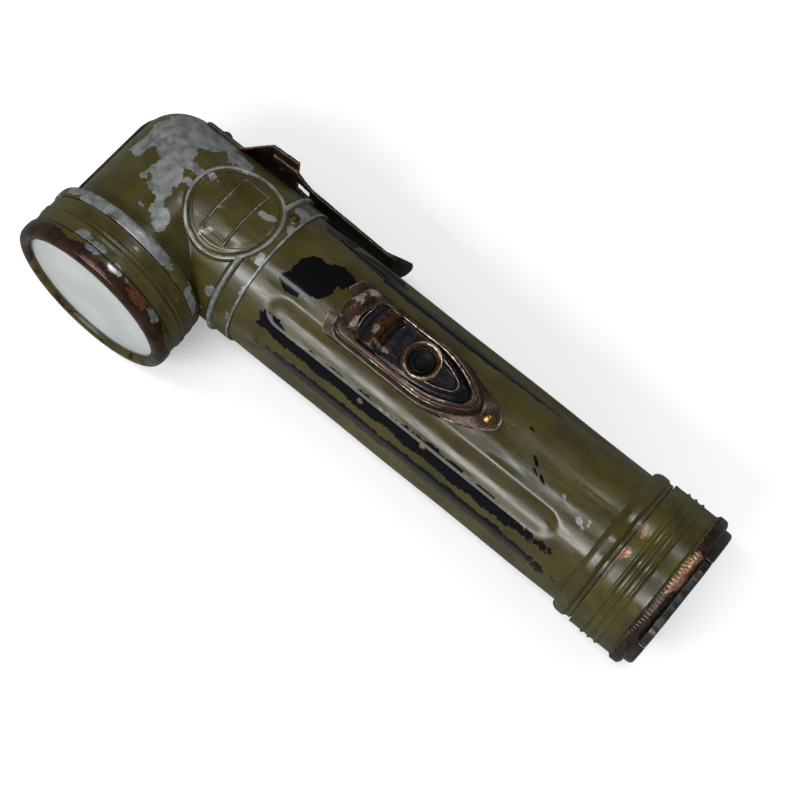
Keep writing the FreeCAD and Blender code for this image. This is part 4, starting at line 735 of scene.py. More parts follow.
def add_head(paint):
    """The two half shells, with bare metal where the paint has gone."""
    upper = head_shell("head_upper_half", True, 200, 44, 260)
    lower = head_shell("head_lower_half", False, 90, 16, 110)
    for obj, node in ((upper, "head_shell_upper"), (lower, "head_shell_lower")):
        x, y, z = read(obj)[0].T
        mark_patches(obj, x, y, z > 0, bare=HEAD_BARE)
        write_attribute(obj, "ridge", head_relief(x, y, obj is upper)[1])
        dress(obj, "lamp", paint, node)


# ---- tube

FLUTE_CENTRE = 27.4
FLUTE_R = 9.4
FLUTE_HEAD_X = 42.0
FLUTE_TAIL_X = 120.6
FLUTE_ANGLES = [math.radians(34.5 + 45 * i) + TUBE_CLOCK for i in range(7)]


def tube_radius(x, angle):
    """The fluted tube's outer radius; angles run from the top towards the lens."""
    radius = np.full(np.shape(x), TUBE_R)
    beyond = np.maximum(FLUTE_HEAD_X - x, 0) + np.maximum(x - FLUTE_TAIL_X, 0)
    for flute in FLUTE_ANGLES:
        turn = np.angle(np.exp(1j * (angle - flute)))
        inside = FLUTE_R ** 2 - beyond ** 2 - (FLUTE_CENTRE * np.sin(turn)) ** 2
        cut = FLUTE_CENTRE * np.cos(turn) - np.sqrt(np.maximum(inside, 0))
        pressed = np.where((inside > 0) & (np.abs(turn) < 0.5), cut, 99)
        radius = smooth_min(radius, pressed, 0.7)
    return radius


# Near-black marks on the barrel: the small patches on top near the head are black paint; the long bands
# along the flutes and the upper edge are painted dark reflection
TUBE_BLACK_AND_DARK_REFLECTION = [
    (42.5, 0.8, 6.0, 5.4, 0),
    (46.5, -3.4, 4.4, 2.8, 0),
    (39.5, 5.2, 3.4, 2.6, 0),
    (41.5, 17.0, 5.5, 2.2, 12),
    (64.0, 18.0, 26.0, 2.0, 0),
    (96.0, 17.8, 28.0, 2.2, 0),
    (37.5, -20.5, 5.5, 7.5, 0),
    (50.5, -16.4, 9.5, 4.0, -6),
    (74.0, -14.0, 34.0, 3.2, 0),
    (66.0, 24.8, 30.0, 2.6, 0),
    (98.0, 24.6, 32.0, 2.6, 0),
]
TUBE_FLECKS = [
    (105.6, -3.4, 0.7, 0.35, 20),
    (108.4, -2.2, 0.6, 0.3, 30),
    (111.4, 2.6, 1.6, 0.35, 35),
    (112.6, 4.4, 1.2, 0.3, 30),
    (115.0, 5.0, 1.4, 0.3, 30),
]
TUBE_COPPER = [(69.3, 18.1, 0.7, 0.6, 0), (87.9, 17.2, 0.7, 0.6, 0)]
# Pale scuffs near the tail, placed where the barrel's sheen falls: scratched paint and a painted highlight
# together
TUBE_SCUFFS_AND_SHEEN = [
    (129.5, 5.6, 0.9, 0.4, 20),
    (127.6, 6.6, 0.5, 0.4, 0),
    (131.0, 4.9, 0.5, 0.3, 0),
    (121.6, 5.0, 1.3, 0.35, 40),
    (124.0, 6.6, 1.1, 0.4, 15),
    (126.0, 4.4, 0.9, 0.3, 50),
]


def add_tube(paint):
    """The barrel with its long pressed flutes."""
    turns = 300
    turn = np.arange(turns) * 2 * math.pi / turns
    x, angle = np.meshgrid(np.linspace(TUBE_HEAD_X, TUBE_TAIL_X, 190), turn, indexing="ij")
    radius = tube_radius(x, angle) - 0.03
    radius += 0.07 * ripple(x, TUBE_R * angle, 22, 11) * step_between(x, 31, 36)
    outward = np.stack([0 * angle, -np.sin(angle), np.cos(angle)], -1)
    line = np.stack([x, 0 * x, 0 * x], -1)
    outer = line + outward * radius[..., None]
    inner = line + outward * (radius - TUBE_WALL)[..., None]
    obj = shell("barrel", outer, inner, True)
    x, y, z = read(obj)[0].T
    arc = TUBE_R * np.arctan2(-y, z)
    mark_patches(obj, x, arc, dark=TUBE_BLACK_AND_DARK_REFLECTION, fleck=TUBE_FLECKS, copper=TUBE_COPPER, bare=TUBE_SCUFFS_AND_SHEEN)
    dress(obj, "lamp", paint, "barrel_tube")


# ---- turned pieces

TUBE_AXIS = ((0, 0, 0), (1, 0, 0), (0, 0, 1))
LENS_AXIS = ((0, 0, 0), (0, -1, 0), (0, 0, 1))
SWITCH_UP = (0, -math.sin(TUBE_CLOCK), math.cos(TUBE_CLOCK))
BUTTON_AXIS = ((BUTTON_X, 0, 0), SWITCH_UP, (1, 0, 0))


def ribs(first, pitch, half, rise, above, count=3):
    """A radius change that raises evenly spaced rolled ribs on what lies above a radius."""
    def shape(s, r, turn):
        height = sum(bump(s - first - i * pitch, half) for i in range(count))
        return r + rise * height * (r > above)

    return shape


NECK_BARE = [(20.8, -4.0, 2.4, 26.0, 0), (21.4, 27.0, 0.8, 4.0, 0), (21.0, -33.0, 1.4, 5.0, 0)]
NECK_COPPER = [(22.4, 19.0, 0.6, 0.9, 0), (22.6, 25.0, 0.5, 1.2, 0)]


def add_neck(paint):
    """The neck collar: rolled grey shoulder and the thread behind the lens ring."""
    back = HEAD_R - 0.55
    front = HEAD_R + 11.75
    bore = HEAD_R + FIT
    thread = bore + 1.7
    shoulder = thread + 1.8
    line = soft_line([
        (back, bore),
        (back, HEAD_R + 1.4, 0.3),
        (back + 0.5, shoulder - 0.4, 0.6),
        (back + 1.6, shoulder, 0.8),
        (back + 3.7, shoulder, 0.5),
        (back + 3.7, thread, 0.1),
        (front, thread),
        (front, bore),
    ], True)
    thread_ribs = ribs(back + 5.4, 2.0, 0.5, 0.4, thread - 0.1)

    def shape(s, r, turn):
        lean = 0.4 * np.sin(turn) * (r > thread + 0.6)
        return thread_ribs(s, r, turn) + lean

    obj = turned("neck_shoulder", line, LENS_AXIS, 320, shape)
    x, y, z = read(obj)[0].T
    mark_patches(obj, -y, shoulder * np.arctan2(x, z), bare=NECK_BARE, copper=NECK_COPPER)
    dress(obj, "lamp", paint, "neck_collar")


RING_COPPER = [
    (26.2, 2.0, 0.4, 0.7, 0),
    (25.6, 14.5, 0.4, 0.9, 0),
    (24.6, 19.0, 0.4, 1.2, 0),
    (32.8, 15.4, 1.5, 3.4, 0),
]
RING_BARE = [
    (30.2, -5.0, 1.0, 2.0, 20),
    (31.2, 0.5, 1.4, 2.4, 10),
    (31.6, 7.0, 1.2, 2.2, 0),
    (31.9, 11.0, 0.8, 1.3, 0),
    (32.2, 21.5, 1.4, 2.0, 0),
    (26.0, -2.0, 0.6, 1.4, 0),
    (24.4, 7.0, 0.4, 1.3, 0),
    (24.6, 24.0, 0.4, 0.7, 0),
]


def add_ring(paint):
    """The lens ring: painted band, two thread beads and a rolled copper-brown rim."""
    band = RING_R - 0.6
    bore = band - 0.9
    lens = bore - 1.2
    opening = lens - 1.1
    lip = RING_FRONT - 1.75
    line = soft_line([
        (RING_BACK, bore),
        (RING_BACK, band, 0.3),
        (RING_BACK + 7.9, band, 0.5),
        (RING_BACK + 8.5, RING_R - 0.15, 0.6),
        (RING_FRONT - 2.6, RING_R, 1.2),
        (RING_FRONT - 0.8, RING_R - 0.3, 1.2),
        (RING_FRONT, RING_R - 1.6, 0.9),
        (RING_FRONT - 0.1, opening + 0.9, 0.5),
        (RING_FRONT - 0.8, opening + 0.15, 0.5),
        (lip + 0.1, opening, 0.2),
        (lip, lens + 0.3, 0.1),
        (lip - 1.0, bore),
    ], True, 0.35)
    beads = ribs(RING_BACK + 3.5, 1.4, 0.62, 0.36, band - 0.3, 2)

    def shape(s, r, turn):
        groove = 0.15 * bump(s - (RING_BACK + 8.0), 0.5)
        return beads(s, r, turn) - groove * (r > band - 0.3)

    obj = turned("lens_bezel", line, LENS_AXIS, 400, shape)
    x, y, z = read(obj)[0].T
    radius = np.hypot(x, z)
    rolled = -y + (RING_R - radius) * 0.4 - (RING_BACK + 9.6)
    topside = 1.6 * step_between(z / radius, -0.35, 0.25) - 1.6
    write_depth(obj, "rim", rolled + 2.8 * topside)
    mark_patches(obj, -y, RING_R * np.arctan2(x, z), copper=RING_COPPER, bare=RING_BARE)
    dress(obj, "lens_ring", paint, "lens_ring")


def ring_finish():
    """Olive paint on the band that gives way to dark copper-brown on the rolled rim."""
    f = Finish("bezel_finish")
    nick = f.ragged(9.0, 0.2, 0.25)
    rim = f.patch("rim", f.ragged(3.0, 0.9, 0.3))
    colour = f.aged(8.0, 6.0, *OLIVE_TONES)
    colour = f.blend(rim, colour, f.aged(4.0, 15.0, (38, 25, 20), (70, 44, 32)))
    bright = f.aged(0.9, 18.0, (88, 54, 36), (128, 80, 52))
    grey = f.aged(1.6, 21.0, BARE_DARK, BARE)
    edge = f.rubbed(nick, 0.95, 0.3)
    edge_colour = f.blend(f.step(f.noise(5.0, 2, 0.5, 27.0), 0.5, 0.55), grey, (150, 118, 92))
    copper = f.patch("copper", nick)
    bare = f.patch("bare", f.ragged(13.0, 0.4, 0.3))
    for share, tone in ((f.times(edge, 0.8), edge_colour), (copper, bright), (bare, grey)):
        colour = f.blend(share, colour, tone)
    # Painted shade: darker where the surface bends into creases and hollows
    colour = f.hollow_shade(colour, -0.15, -0.8, 0.8)
    naked = f.most(rim, copper, bare, edge)
    satin = f.step(f.noise(1.2, 3, 0.6, 33.0), 0.3, 0.7, 0.16, 0.36)
    rough = f.between(naked, f.step(f.noise(6.0, 3, 0.6, 35.0), 0.3, 0.7, 0.2, 0.36), satin)
    f.relief(f.add(f.times(bare, -0.6), f.times(f.noise(0.7, 3, 0.6, 39.0), 0.6)), 0.04)
    return f.set(Base_Color=colour, Metallic=f.times(naked, 0.5), Roughness=rough)


CAP_PITCH = 2.06


def add_ferrule(paint):
    """The tail ferrule: a rolled bead and the thread under the cap."""
    bore = TUBE_R + FIT
    thread = bore + 0.6
    bead_r = thread + 1.05
    head = TUBE_TAIL_X - 16.0
    end = head + 4.3
    line = soft_line([
        (head, bore),
        (head, TUBE_R + 0.6, 0.2),
        (head + 0.5, bead_r - 0.5, 0.5),
        (head + 1.6, bead_r, 0.9),
        (end - 0.6, bead_r, 0.6),
        (end, thread + 0.5, 0.2),
        (end + 1.1, thread + 0.5, 0.1),
        (end + 1.1, thread, 0.1),
        (TUBE_TAIL_X, thread),
        (TUBE_TAIL_X, bore),
    ], True)
    thread_ribs = ribs(end + 3.1, CAP_PITCH, 0.5, 0.2, thread - 0.05)
    obj = turned("ferrule_ring", line, TUBE_AXIS, 320, thread_ribs)
    dress(obj, "lamp", paint, "tail_ferrule")


CAP_COPPER = [(140.6, 6.4, 1.3, 1.3, 20), (139.9, 8.2, 0.7, 1.2, 0), (141.4, 0.6, 0.4, 0.8, 0)]
# A painted highlight on the milled rim, in the bright copper of the worn chips
CAP_PAINTED_SHINE = [(154.0, 3.4, 2.4, 5.6, 0)]
RIM_TEETH = 130


def add_cap(paint):
    """The tail cap with three rolled ribs and the milled rim."""
    bore = CAP_R - 0.5
    rim_x = CAP_END_X - 3.1
    seat = CAP_END_X - 0.5
    line = soft_line([
        (CAP_HEAD_X, bore, 0.1),
        (CAP_HEAD_X, CAP_R + 0.1, 0.3),
        (CAP_HEAD_X + 0.8, CAP_R, 0.4),
        (rim_x - 0.4, CAP_R, 0.3),
        (rim_x + 0.1, CAP_RIM_R, 0.4),
        (CAP_END_X - 0.7, CAP_RIM_R, 0.8),
        (CAP_END_X, CAP_RIM_R - 1.2, 0.4),
        (CAP_END_X, CAP_RIM_R - 1.8, 0.15),
        (seat, CAP_RIM_R - 1.8, 0.1),
        (seat, 0),
    ], False, 0.3)
    inside = soft_line([(seat - 1.6, 0), (seat - 1.6, bore - 0.3, 0.8), (CAP_HEAD_X, bore)], False, 1.5)
    whole = [np.concatenate([a[::-1], b[-2::-1]]) for a, b in zip(line, inside)]
    rolled = ribs(CAP_HEAD_X + 3.85, CAP_PITCH, 0.6, 0.5, CAP_R - 0.2)

    def shape(s, r, turn):
        gap = 1 - np.abs(np.sin(turn * RIM_TEETH / 2))
        window = bump(s - (rim_x + 0.35), 0.75) * (r > CAP_RIM_R - 0.8)
        fine = step_between(s, rim_x + 0.5, rim_x + 0.9) * (r > CAP_RIM_R - 0.3)
        return rolled(s, r, turn) - 0.2 * window * gap - 0.05 * fine * gap

    obj = turned("cap_shell", whole, TUBE_AXIS, RIM_TEETH * 6, shape)
    x, y, z = read(obj)[0].T
    face = 9 * (np.hypot(y, z) < CAP_RIM_R - 0.9)
    write_depth(obj, "rim", x - (rim_x + 0.1) + face)
    mark_patches(obj, x, CAP_R * np.arctan2(-y, z), copper=CAP_COPPER, shine=CAP_PAINTED_SHINE)
    dress(obj, "tail_cap", paint, "tail_cap")


def cap_finish():
    """Olive paint with brown-worn ribs and a dark brown milled rim, with worn copper painted bright as a
    highlight in one place on the rim.
    """
    f = Finish("cap_finish")
    nick = f.ragged(12.0, 0.2, 0.25)
    colour = f.aged(10.0, 16.0, OLIVE_DARK, (78, 73, 27))
    brown = f.aged(2.4, 25.0, (34, 26, 22), (66, 50, 40))
    bright = f.aged(0.8, 18.0, (104, 78, 58), (172, 132, 104))
    rub = f.rubbed(nick, 1.0, 0.6)
    rim = f.patch("rim", f.ragged(14.0, 0.3, 0.2))
    shine = f.patch("shine", f.ragged(15.0, 0.8, 0.5))
    # Copper chips, and the rim's painted highlight in the same bright copper
    copper = f.most(f.patch("copper", nick), f.times(shine, rim))
    for share, tone in ((f.times(rub, 0.55), (112, 88, 56)), (rim, brown), (copper, bright)):
        colour = f.blend(share, colour, tone)
    # Painted shade: darker where the surface bends into creases and hollows
    colour = f.hollow_shade(colour, -0.15, -0.9, 0.75)
    naked = f.most(rim, copper, f.times(rub, 0.5))
    satin = f.step(f.noise(1.0, 3, 0.6, 33.0), 0.3, 0.7, 0.18, 0.36)
    rough = f.between(naked, f.step(f.noise(6.0, 3, 0.6, 35.0), 0.3, 0.7, 0.2, 0.4), satin)
    f.relief(f.times(f.noise(0.7, 3, 0.6, 39.0), 0.7), 0.03)
    return f.set(Base_Color=colour, Metallic=f.times(naked, 0.5), Roughness=rough)


def add_button(guard_paint, button_paint):
    """The worn round guard and the dished black button in it."""
    guard = soft_line([
        (DECK, WELL_R),
        (DECK, GUARD_R, 0.1),
        (DECK + 0.55, GUARD_R - 0.3, 0.3),
        (GUARD_TOP - 0.45, GUARD_R - 0.15, 0.25),
        (GUARD_TOP, GUARD_R - 0.5, 0.35),
        (GUARD_TOP, GUARD_R - 1.0, 0.3),
        (GUARD_TOP - 0.4, WELL_R + 0.35, 0.3),
        (GUARD_TOP - 1.0, WELL_R, 0.3),
    ], True, 0.15)
    obj = turned("guard_ring", guard, BUTTON_AXIS, 160)
    dress(obj, "switch_slide", guard_paint, "button_guard")
    radius = WELL_R - 0.3
    stem = 0.9
    under = BUTTON_TOP - 0.8
    stem_end = TUBE_R - 0.58
    button = soft_line([
        (BUTTON_TOP - 0.7, 0),
        (BUTTON_TOP - 0.62, 1.4, 0.6),
        (BUTTON_TOP - 0.15, radius - 0.75, 0.4),
        (BUTTON_TOP, radius - 0.4, 0.2),
        (BUTTON_TOP - 0.2, radius, 0.2),
        (under, radius, 0.1),
        (under, stem, 0.1),
        (stem_end, stem, 0.2),
        (stem_end, 0),
    ], False, 0.2)
    obj = turned("button_top", button, BUTTON_AXIS, 96)
    dress(obj, "signal_button", button_paint, "signal_button")


# ---- switch

LOOP = 560


def arc_points(x, y, radius, start, end, count):
    """Points on a circle from one bearing to another, measured from +Y towards +X."""
    bearing = np.linspace(start, end, count)
    return np.stack([x + radius * np.sin(bearing), y + radius * np.cos(bearing)], -1)


def grown(size, outline, notch=None):
    """A shield outline moved outward by a size, as LOOP points at even angles round the button.

    The outline is (head, bow, half width, start of the tail, tip, corner radius, tip radius);
    notch, a cut in its head, is (where its bottom lies along the lamp, half width).
    """
    head_x, bow, half, taper_x, tip_x, corner, tip = outline
    head_x -= size
    half += size
    tip_x += size
    corner += size
    tip += size
    reach = tip_x - tip - taper_x
    radius = (reach ** 2 + half ** 2 - tip ** 2) / (2 * (half - tip))
    turn = math.atan2(reach, radius - half)
    y = np.linspace(half - corner, 0, 40)
    head = np.stack([head_x - bow * (1 - (y / (half - corner)) ** 2), y], -1)
    if notch is not None:
        notch_x, notch_half = notch
        share = step_between(notch_half + 0.5 - y, 0, 1.0)
        head[:, 0] = head[:, 0] * (1 - share) + notch_x * share
    side_x = np.linspace(taper_x, head_x + corner, 60)
    upper = np.concatenate([
        arc_points(tip_x - tip, 0, tip, math.pi / 2, turn, 30),
        arc_points(taper_x, half - radius, radius, turn, 0, 60),
        np.stack([side_x, 0 * side_x + half], -1),
        arc_points(head_x + corner, half - corner, corner, 0, -math.pi / 2, 16),
        head,
    ])
    outline = np.concatenate([upper, upper[::-1] * (1, -1)])
    x, y = (outline - BUTTON_CENTRE).T
    angle = np.arctan2(y, x)
    away = np.hypot(x, y)
    order = np.argsort(angle)
    even = -math.pi + np.arange(LOOP) * 2 * math.pi / LOOP
    away = np.interp(even, angle[order], away[order], period=2 * math.pi)
    return BUTTON_CENTRE + np.stack([away * np.cos(even), away * np.sin(even)], -1)


PLATE = (51.2, 1.4, 8.3, 77.0, 99.6, 1.2, 3.0)
HOUSING = (53.9, 1.0, 7.3, 78.0, 93.4, 3.0, 3.0)
SLOT = (58.9, 1.2, 5.8, 76.0, 90.6, 2.2, 2.4)
PLATE_NOTCH = (PLATE[0] + 1.7, 3.4)
SLIDE_TRAVEL = 2.4


def on_tube(points):
    """Turns points drawn on the tube's own top line to where the tube really sits."""
    c, s = math.cos(TUBE_CLOCK), math.sin(TUBE_CLOCK)
    x, y, z = points[..., 0], points[..., 1], points[..., 2]
    return np.stack([x, y * c - z * s, y * s + z * c], -1)


def ringed(name, points):
    """A closed piece whose skin runs from each row of LOOP points to the next, and round again."""
    index = np.arange(len(points) * LOOP).reshape(-1, LOOP)
    return closed_object(name, points.reshape(-1, 3), grid_faces(index, True, True))


HOUSING_BARE = [(56.0, 4.4, 2.2, 1.4, 20), (54.8, 0.4, 1.1, 3.2, 0), (57.6, -4.0, 0.8, 1.8, 0)]
HOUSING_DARK = [(57.4, 1.8, 1.3, 2.6, 0)]
HOUSING_COPPER = [(55.6, -2.6, 1.4, 2.4, 0), (68.0, -7.2, 13.0, 0.8, 0), (89.0, -4.6, 3.0, 0.9, 30)]
CROWN = 0.012


def add_housing(paint):
    """The pressed base plate and the raised slotted wall."""
    rows = []

    def on_plate(loop, height):
        rows.append(np.column_stack([loop, np.sqrt((TUBE_R + height) ** 2 - loop[:, 1] ** 2)]))

    def at_level(loop, z):
        rows.append(np.column_stack([loop, z - CROWN * loop[:, 1] ** 2]))

    plate = grown(0, PLATE, PLATE_NOTCH)
    on_plate(plate, FIT)
    on_plate(plate, 0.3)
    for inward, height in ((0.005, 0.5), (0.015, 0.56)):
        on_plate(plate * (1 - inward) + BUTTON_CENTRE * inward, height)
    foot = grown(0.5, HOUSING)
    for share in np.linspace(0.15, 1, 6):
        on_plate(plate * (1 - share) + foot * share, 0.56)
    on_plate(grown(0.3, HOUSING), 0.62)
    on_plate(grown(0.15, HOUSING), 0.76)
    low = np.sqrt((TUBE_R + 0.8) ** 2 - grown(0, HOUSING)[:, 1] ** 2) + 0.2
    for share in (0.0, 0.3, 0.6, 0.9):
        z = low + (HOUSING_TOP - 0.75 - low) * share
        rows.append(np.column_stack([grown(0.08 - 0.12 * share, HOUSING), z]))
    for turn in (0.3, 0.6, 0.9, 1.25, math.pi / 2):
        inset = 0.7 * (1 - math.cos(turn)) + 0.05
        at_level(grown(-inset, HOUSING), HOUSING_TOP - 0.7 * (1 - math.sin(turn)))
    edge = grown(0.35, SLOT)
    inner_wall = grown(-0.75, HOUSING)
    for share in np.linspace(0.16, 1, 6):
        loop = inner_wall * (1 - share) + edge * share
        sunk = 0.18 * bump(share - 0.5, 0.55) * step_between(loop[:, 0], 74, 86)
        at_level(loop, HOUSING_TOP - sunk)
    for turn in (0.5, 1.0, math.pi / 2):
        at_level(grown(0.35 - 0.35 * math.sin(turn), SLOT), HOUSING_TOP - 0.35 * (1 - math.cos(turn)))
    at_level(grown(0, SLOT), HOUSING_TOP - 0.6)
    at_level(grown(0.1, SLOT), HOUSING_TOP - 0.62)
    at_level(grown(-0.9, HOUSING), HOUSING_TOP - 0.62)
    on_plate(grown(-0.7, HOUSING), FIT)
    points = on_tube(np.array(rows))
    points[..., 2] += 0.05 * ripple(points[..., 0], points[..., 1], 4, 21)
    obj = ringed("switch_shell", points)
    x, y, _ = read(obj)[0].T
    mark_patches(obj, x, y, bare=HOUSING_BARE, dark=HOUSING_DARK, copper=HOUSING_COPPER)
    dress(obj, "lamp", paint, "switch_housing")


THUMB_X = 61.6
THUMB_R = 3.0
THUMB_TOP = 22.9


def deck_height(x, y, inset):
    """The thumb slide's top: arc ridge, thumb ridge, scoop, flat deck and tail ridge."""
    bowed = x + SLOT[1] * (1 - (y / SLOT[2]) ** 2)
    z = DECK + 0.75 * bump(bowed - SLOT[0] - 0.8, 0.75)
    thumb = bowed - THUMB_X
    across = step_between(thumb, -0.2, 0.45) * step_between(4.15 - thumb, -0.2, 0.45)
    curve = THUMB_TOP - THUMB_R + np.sqrt(np.maximum(THUMB_R ** 2 - (thumb - 2.05) ** 2, 0.1))
    z = z + across * (curve - DECK)
    z = z - 0.7 * bump(thumb - 5.2, 1.2) * step_between(inset, 0.2, 1.0)
    z = z + 0.85 * bump(inset - 1.3, 1.0) * step_between(x, BUTTON_X - 0.5, BUTTON_X + 2.5)
    return z - 0.35 * step_between(0.7 - inset, 0, 0.7)


THUMB_COPPER = [(63.4, -1.0, 2.0, 5.6, 0), (66.5, -4.6, 3.0, 0.9, 0), (87.0, -1.0, 0.7, 0.7, 0)]
# Pale worn metal on the thumb slide; on the thumb ridge's crest it also stands as a painted highlight
THUMB_WEAR_AND_GLINT = [(63.6, 4.6, 1.5, 1.2, 0), (62.6, -3.0, 0.6, 1.2, 0), (66.6, -5.0, 2.2, 0.4, 0)]


def add_slider(paint):
    """The thumb slide that carries the button's guard, with its flange under the slot."""
    outline = SLOT[:3] + (SLOT[3] - SLIDE_TRAVEL, SLOT[4] - SLIDE_TRAVEL) + SLOT[5:]
    under = SLOT[:3] + (HOUSING[3] - SLIDE_TRAVEL, HOUSING[4] - 1.9 - SLIDE_TRAVEL) + SLOT[5:]
    outer = grown(-0.3, outline)
    flange = grown(0.5, under)
    length = np.linalg.norm(outer - BUTTON_CENTRE, axis=1)
    way = (outer - BUTTON_CENTRE) / length[:, None]
    rows = []
    for share in np.linspace(0, 1, 84) ** 0.9:
        away = WELL_R + (length - WELL_R) * share
        loop = BUTTON_CENTRE + way * away[:, None]
        rows.append(np.column_stack([loop, deck_height(*loop.T, (length - away) * 0.92)]))
    ledge = HOUSING_TOP - 0.95 - CROWN * outer[:, 1] ** 2
    foot = np.sqrt((TUBE_R + 0.45) ** 2 - flange[:, 1] ** 2) + 0.1
    for loop, z in (
        (outer, np.minimum(rows[-1][:, 2] - 0.15, ledge + 0.2)),
        (grown(-0.22, outline), ledge),
        (flange, ledge),
        (flange, np.minimum(foot, ledge - 0.05)),
        (BUTTON_CENTRE + way * WELL_R, np.full(LOOP, TUBE_R + 0.55)),
    ):
        rows.append(np.column_stack([loop, z]))
    obj = ringed("thumb_slide", on_tube(np.array(rows)))
    x, y, _ = read(obj)[0].T
    mark_patches(obj, x, y, copper=THUMB_COPPER, bare=THUMB_WEAR_AND_GLINT)
    dress(obj, "switch_slide", paint, "switch_slider")


# ---- stamped pieces

def add_stamped(node, name, body, voxel, rounds, material):
    """A CAD stamping with its edges rolled and worn."""
    obj = softened(node, name, voxel, rounds)
    dress(obj, body, material, node, 3)


def add_seam(material):
    """The crimped seam strip, which follows the head's bulge and stands a lip proud of it."""
    obj = softened("head_seam_strip", "seam_strip", 0.12, 4)
    for vertex in obj.data.vertices:
        x = vertex.co.x / MM - ORIGIN[0]
        lip = SEAM_LIP * step_between(-x, HEAD_R - 2.0, HEAD_R + 0.6)
        vertex.co.x += (bulge(x) - lip) * MM
    dress(obj, "lamp", material, "head_seam_strip", 3)


def add_stamped_pieces():
    """The clip's bracket and strap, the end plate and its hanger ring."""
    clip = worn_paint("clip_finish", 61.0, CLIP_TONES, brown=1.0, specks=0.1)
    end = worn_paint("end_finish", 83.0, END_TONES, edge=1.3, brown=0.6, specks=0.1)
    add_stamped("clip_bracket", "clip_saddle", "lamp", 0.2, 4, clip)
    add_stamped("belt_clip", "clip_strap", "belt_clip", 0.2, 10, clip)
    add_stamped("tail_end_plate", "end_disc", "tail_cap", 0.25, 3, end)
    add_stamped("hanger_ring", "hanger_loop", "hanger_ring", 0.2, 5, end)


# ---- CAD nodes that stay in view

def finish_cad_nodes():
    """Materials for the pieces whose CAD shape is right as it is."""
    brass = plain_metal("brass_finish", (128, 96, 44), (206, 168, 92), 1.2, 0.22, 0.42)
    brown = plain_metal("rivet_finish", (48, 36, 20), (96, 74, 40), 1.0, 0.25, 0.4, 0.03, metallic=0.6)
    steel = plain_metal("spring_finish", (120, 122, 124), (176, 178, 180), 2.0, 0.25, 0.4)
    dark_steel = plain_metal("dark_steel_finish", (58, 56, 54), (104, 100, 96), 1.6, 0.3, 0.5)
    silver = plain_metal("reflector_finish", (206, 208, 210), (232, 234, 236), 9.0, 0.08, 0.2, relief=0.004)
    jacket = plain_matt("cell_jacket_finish", (60, 64, 70), (92, 96, 102), 8.0, 0.4, 0.55)
    fibre = plain_matt("fibre_finish", (92, 60, 42), (126, 86, 60), 3.0, 0.6, 0.75)
    rubber = plain_matt("gasket_finish", (28, 28, 28), (46, 45, 44), 2.5, 0.6, 0.8)
    finishes = {
        brass: "plate_rivet bulb_base bulb_contact contact_strip head_contact battery_caps signal_contact",
        brown: "collar_rivets clip_rivets strap_rivets",
        steel: "battery_spring button_spring spring_cup",
        dark_steel: "hanger_pin bulb_socket bulb_filament contact_spacer",
        silver: "reflector",
        jacket: "battery_front battery_rear",
        fibre: "socket_plate insulator_disc switch_insulator",
        rubber: "lens_gasket",
        lens_glass_finish(): "lens_glass",
        clear_glass_finish(): "bulb_glass",
    }
    for material, names in finishes.items():
        for node in names.split():
            finish_node(node, material)


# ---- stage, light and camera

# The studio: places and sizes on the bench, in millimetres, and how bright it is
LAMP_MIDDLE = (60.0, 0.0, 0.0)
TABLE_HALF = 2500.0
TABLE_GLOW = 0.32
ROOM_STRENGTH = 0.42


def look(obj, place, direction, right):
    """Puts a light or camera at a bench place, looking along a direction."""
    back = -Vector(direction).normalized()
    side = (Vector(right) - Vector(right).dot(back) * back).normalized()
    turn = Matrix((side, back.cross(side), back)).transposed().to_4x4()
    obj.matrix_world = Matrix.Translation((np.array(place) + ORIGIN) * MM) @ turn


CAMERA_PLACE = (150.167, -160.255, 441.361)
CAMERA_DIRECTION = (-0.15982, 0.32752, -0.93123)
CAMERA_RIGHT = (0.77074, 0.63083, 0.08959)
CAMERA_LENS = 87.065


def add_camera():
    """The main view's camera, which looks down at the lamp from its tail end."""
    data = bpy.data.cameras.new("camera")
    data.sensor_width = 36.0
    data.lens = CAMERA_LENS
    data.clip_start = 0.01
    camera = bpy.data.objects.new("camera", data)
    bpy.context.scene.collection.objects.link(camera)
    look(camera, CAMERA_PLACE, CAMERA_DIRECTION, CAMERA_RIGHT)
    bpy.context.scene.camera = camera


def add_light(name, direction, distance, size, power, colour=(1, 1, 1)):
    """A soft studio light that shines on the lamp's middle: distance in mm, size in metres."""
    data = bpy.data.lights.new(name, "AREA")
    data.shape = "RECTANGLE"
    data.size, data.size_y = size
    data.energy = power
    data.color = colour
    light = bpy.data.objects.new(name, data)
    bpy.context.scene.collection.objects.link(light)
    way = np.array(direction) / np.linalg.norm(direction)
    look(light, np.array(LAMP_MIDDLE) + way * distance, -way, (1, 0, 0))


def add_world():
    """A white room: pure white behind the lamp, dimmer overhead for gloss."""
    world = bpy.data.worlds.new("room")
    bpy.context.scene.world = world
    world.use_nodes = True
    room = Wiring(world.node_tree)
    rays = room.node("LightPath").outputs
    height = room.node("SeparateXYZ", room.node("TexCoord").outputs["Generated"]).outputs["Z"]
    ramp = room.node("ValToRGB", room.math("MULTIPLY_ADD", height, 0.5, 0.5))
    for stop, place, grey in zip(ramp.color_ramp.elements, (0.5, 0.75), (0.3, 0.04)):
        stop.position = place
        stop.color = (grey, grey, grey, 1)
    plain = room.node("Background", Color=WHITE, Strength=ROOM_STRENGTH).outputs[0]
    gloss = room.node("Background", Color=ramp.outputs[0]).outputs[0]
    backdrop = room.node("Background", Color=WHITE, Strength=1.0).outputs[0]
    lit = room.node("MixShader", rays["Is Glossy Ray"], plain, gloss).outputs[0]
    seen = room.math("MAXIMUM", rays["Is Camera Ray"], rays["Is Transmission Ray"])
    room.node("OutputWorld", room.node("MixShader", seen, lit, backdrop).outputs[0])


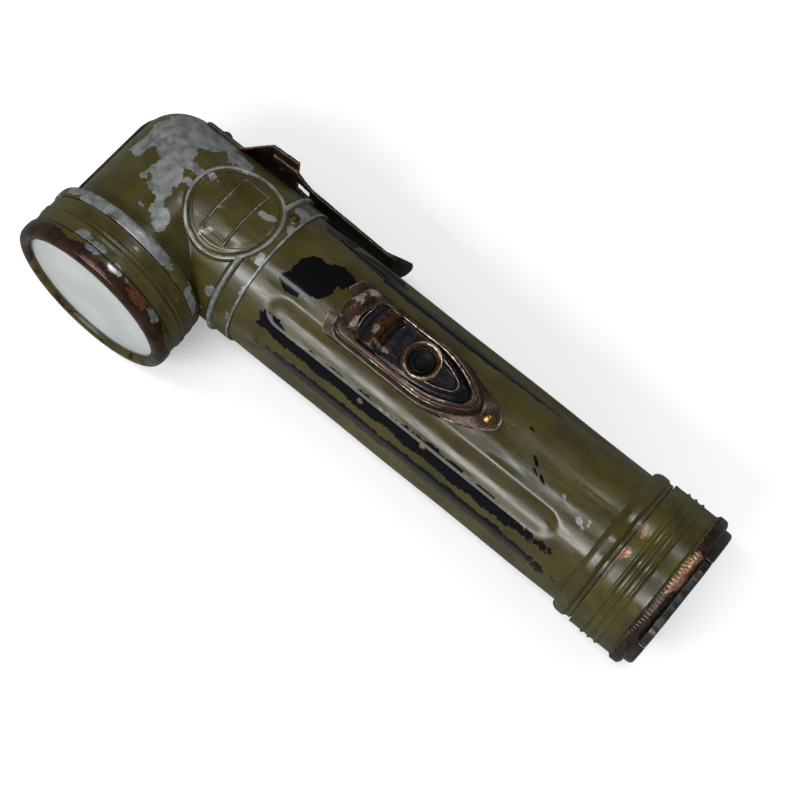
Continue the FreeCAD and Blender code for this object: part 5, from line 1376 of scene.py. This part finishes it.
def add_floor():
    """A large pale table that keeps the lamp's shadow and a faint reflection."""
    square = ((-1, -1), (1, -1), (1, 1), (-1, 1))
    corners = np.array([(x * TABLE_HALF, y * TABLE_HALF, -ORIGIN[2]) for x, y in square])
    floor = new_object("table", corners, [[0, 1, 2, 3]])
    f = Finish("table_finish")
    rays = f.node("LightPath").outputs
    pale = f.blend(f.noise(60.0, 2, 0.5), (238, 238, 238), (242, 242, 242))
    # Glossy rays see the table mid grey: painted shade, standing in for the table's shaded part as the lamp
    # reflects it
    f.set(Base_Color=f.blend(rays["Is Glossy Ray"], pale, (122, 124, 120)), Roughness=0.3)
    glow = f.node("Emission", Color=WHITE, Strength=f.times(rays["Is Camera Ray"], TABLE_GLOW))
    total = f.node("AddShader", f.shader.outputs[0], glow.outputs[0])
    f.plug(f.output.inputs[0], total.outputs[0])
    floor.data.materials.append(f.material)


def add_studio():
    """The plain soft studio: table, room, soft lights and the camera."""
    add_floor()
    add_world()
    add_light("key", (-0.17, -0.74, 0.65), 900.0, (0.55, 0.26), 4.6)
    add_light("flash", (-0.16, -0.28, 0.95), 900.0, (0.5, 0.08), 1.7, (0.93, 0.97, 1.0))
    add_light("back", (0.12, 0.42, 0.9), 1200.0, (0.2, 0.2), 1.5)
    add_camera()
    bpy.context.scene.view_settings.view_transform = "Standard"


# ---- the lamp

add_head(worn_paint("head_paint", edge=1.6, brown=0.1, specks=0.3))
add_tube(worn_paint("tube_paint", 40.0, edge=3.6))
add_neck(worn_paint("neck_paint", 20.0, edge=1.5, brown=0.1))
add_ring(ring_finish())
add_ferrule(worn_paint("ferrule_paint", 50.0, edge=1.7, brown=0.8))
add_cap(cap_finish())
add_housing(worn_copper("housing_finish", 2.0, 0.85))
add_slider(dark_lacquer("slider_finish", 5.0, 1.0))
button_paint = plain_matt("button_finish", (6, 6, 7), (12, 12, 13), 2.0, 0.4, 0.6, gloss=0.15)
add_button(worn_copper("guard_finish", 8.0, 0.8), button_paint)
add_stamped_pieces()
add_seam(worn_paint("seam_finish", 97.0, SEAM_TONES, edge=1.6, brown=0.5))
finish_cad_nodes()
add_studio()
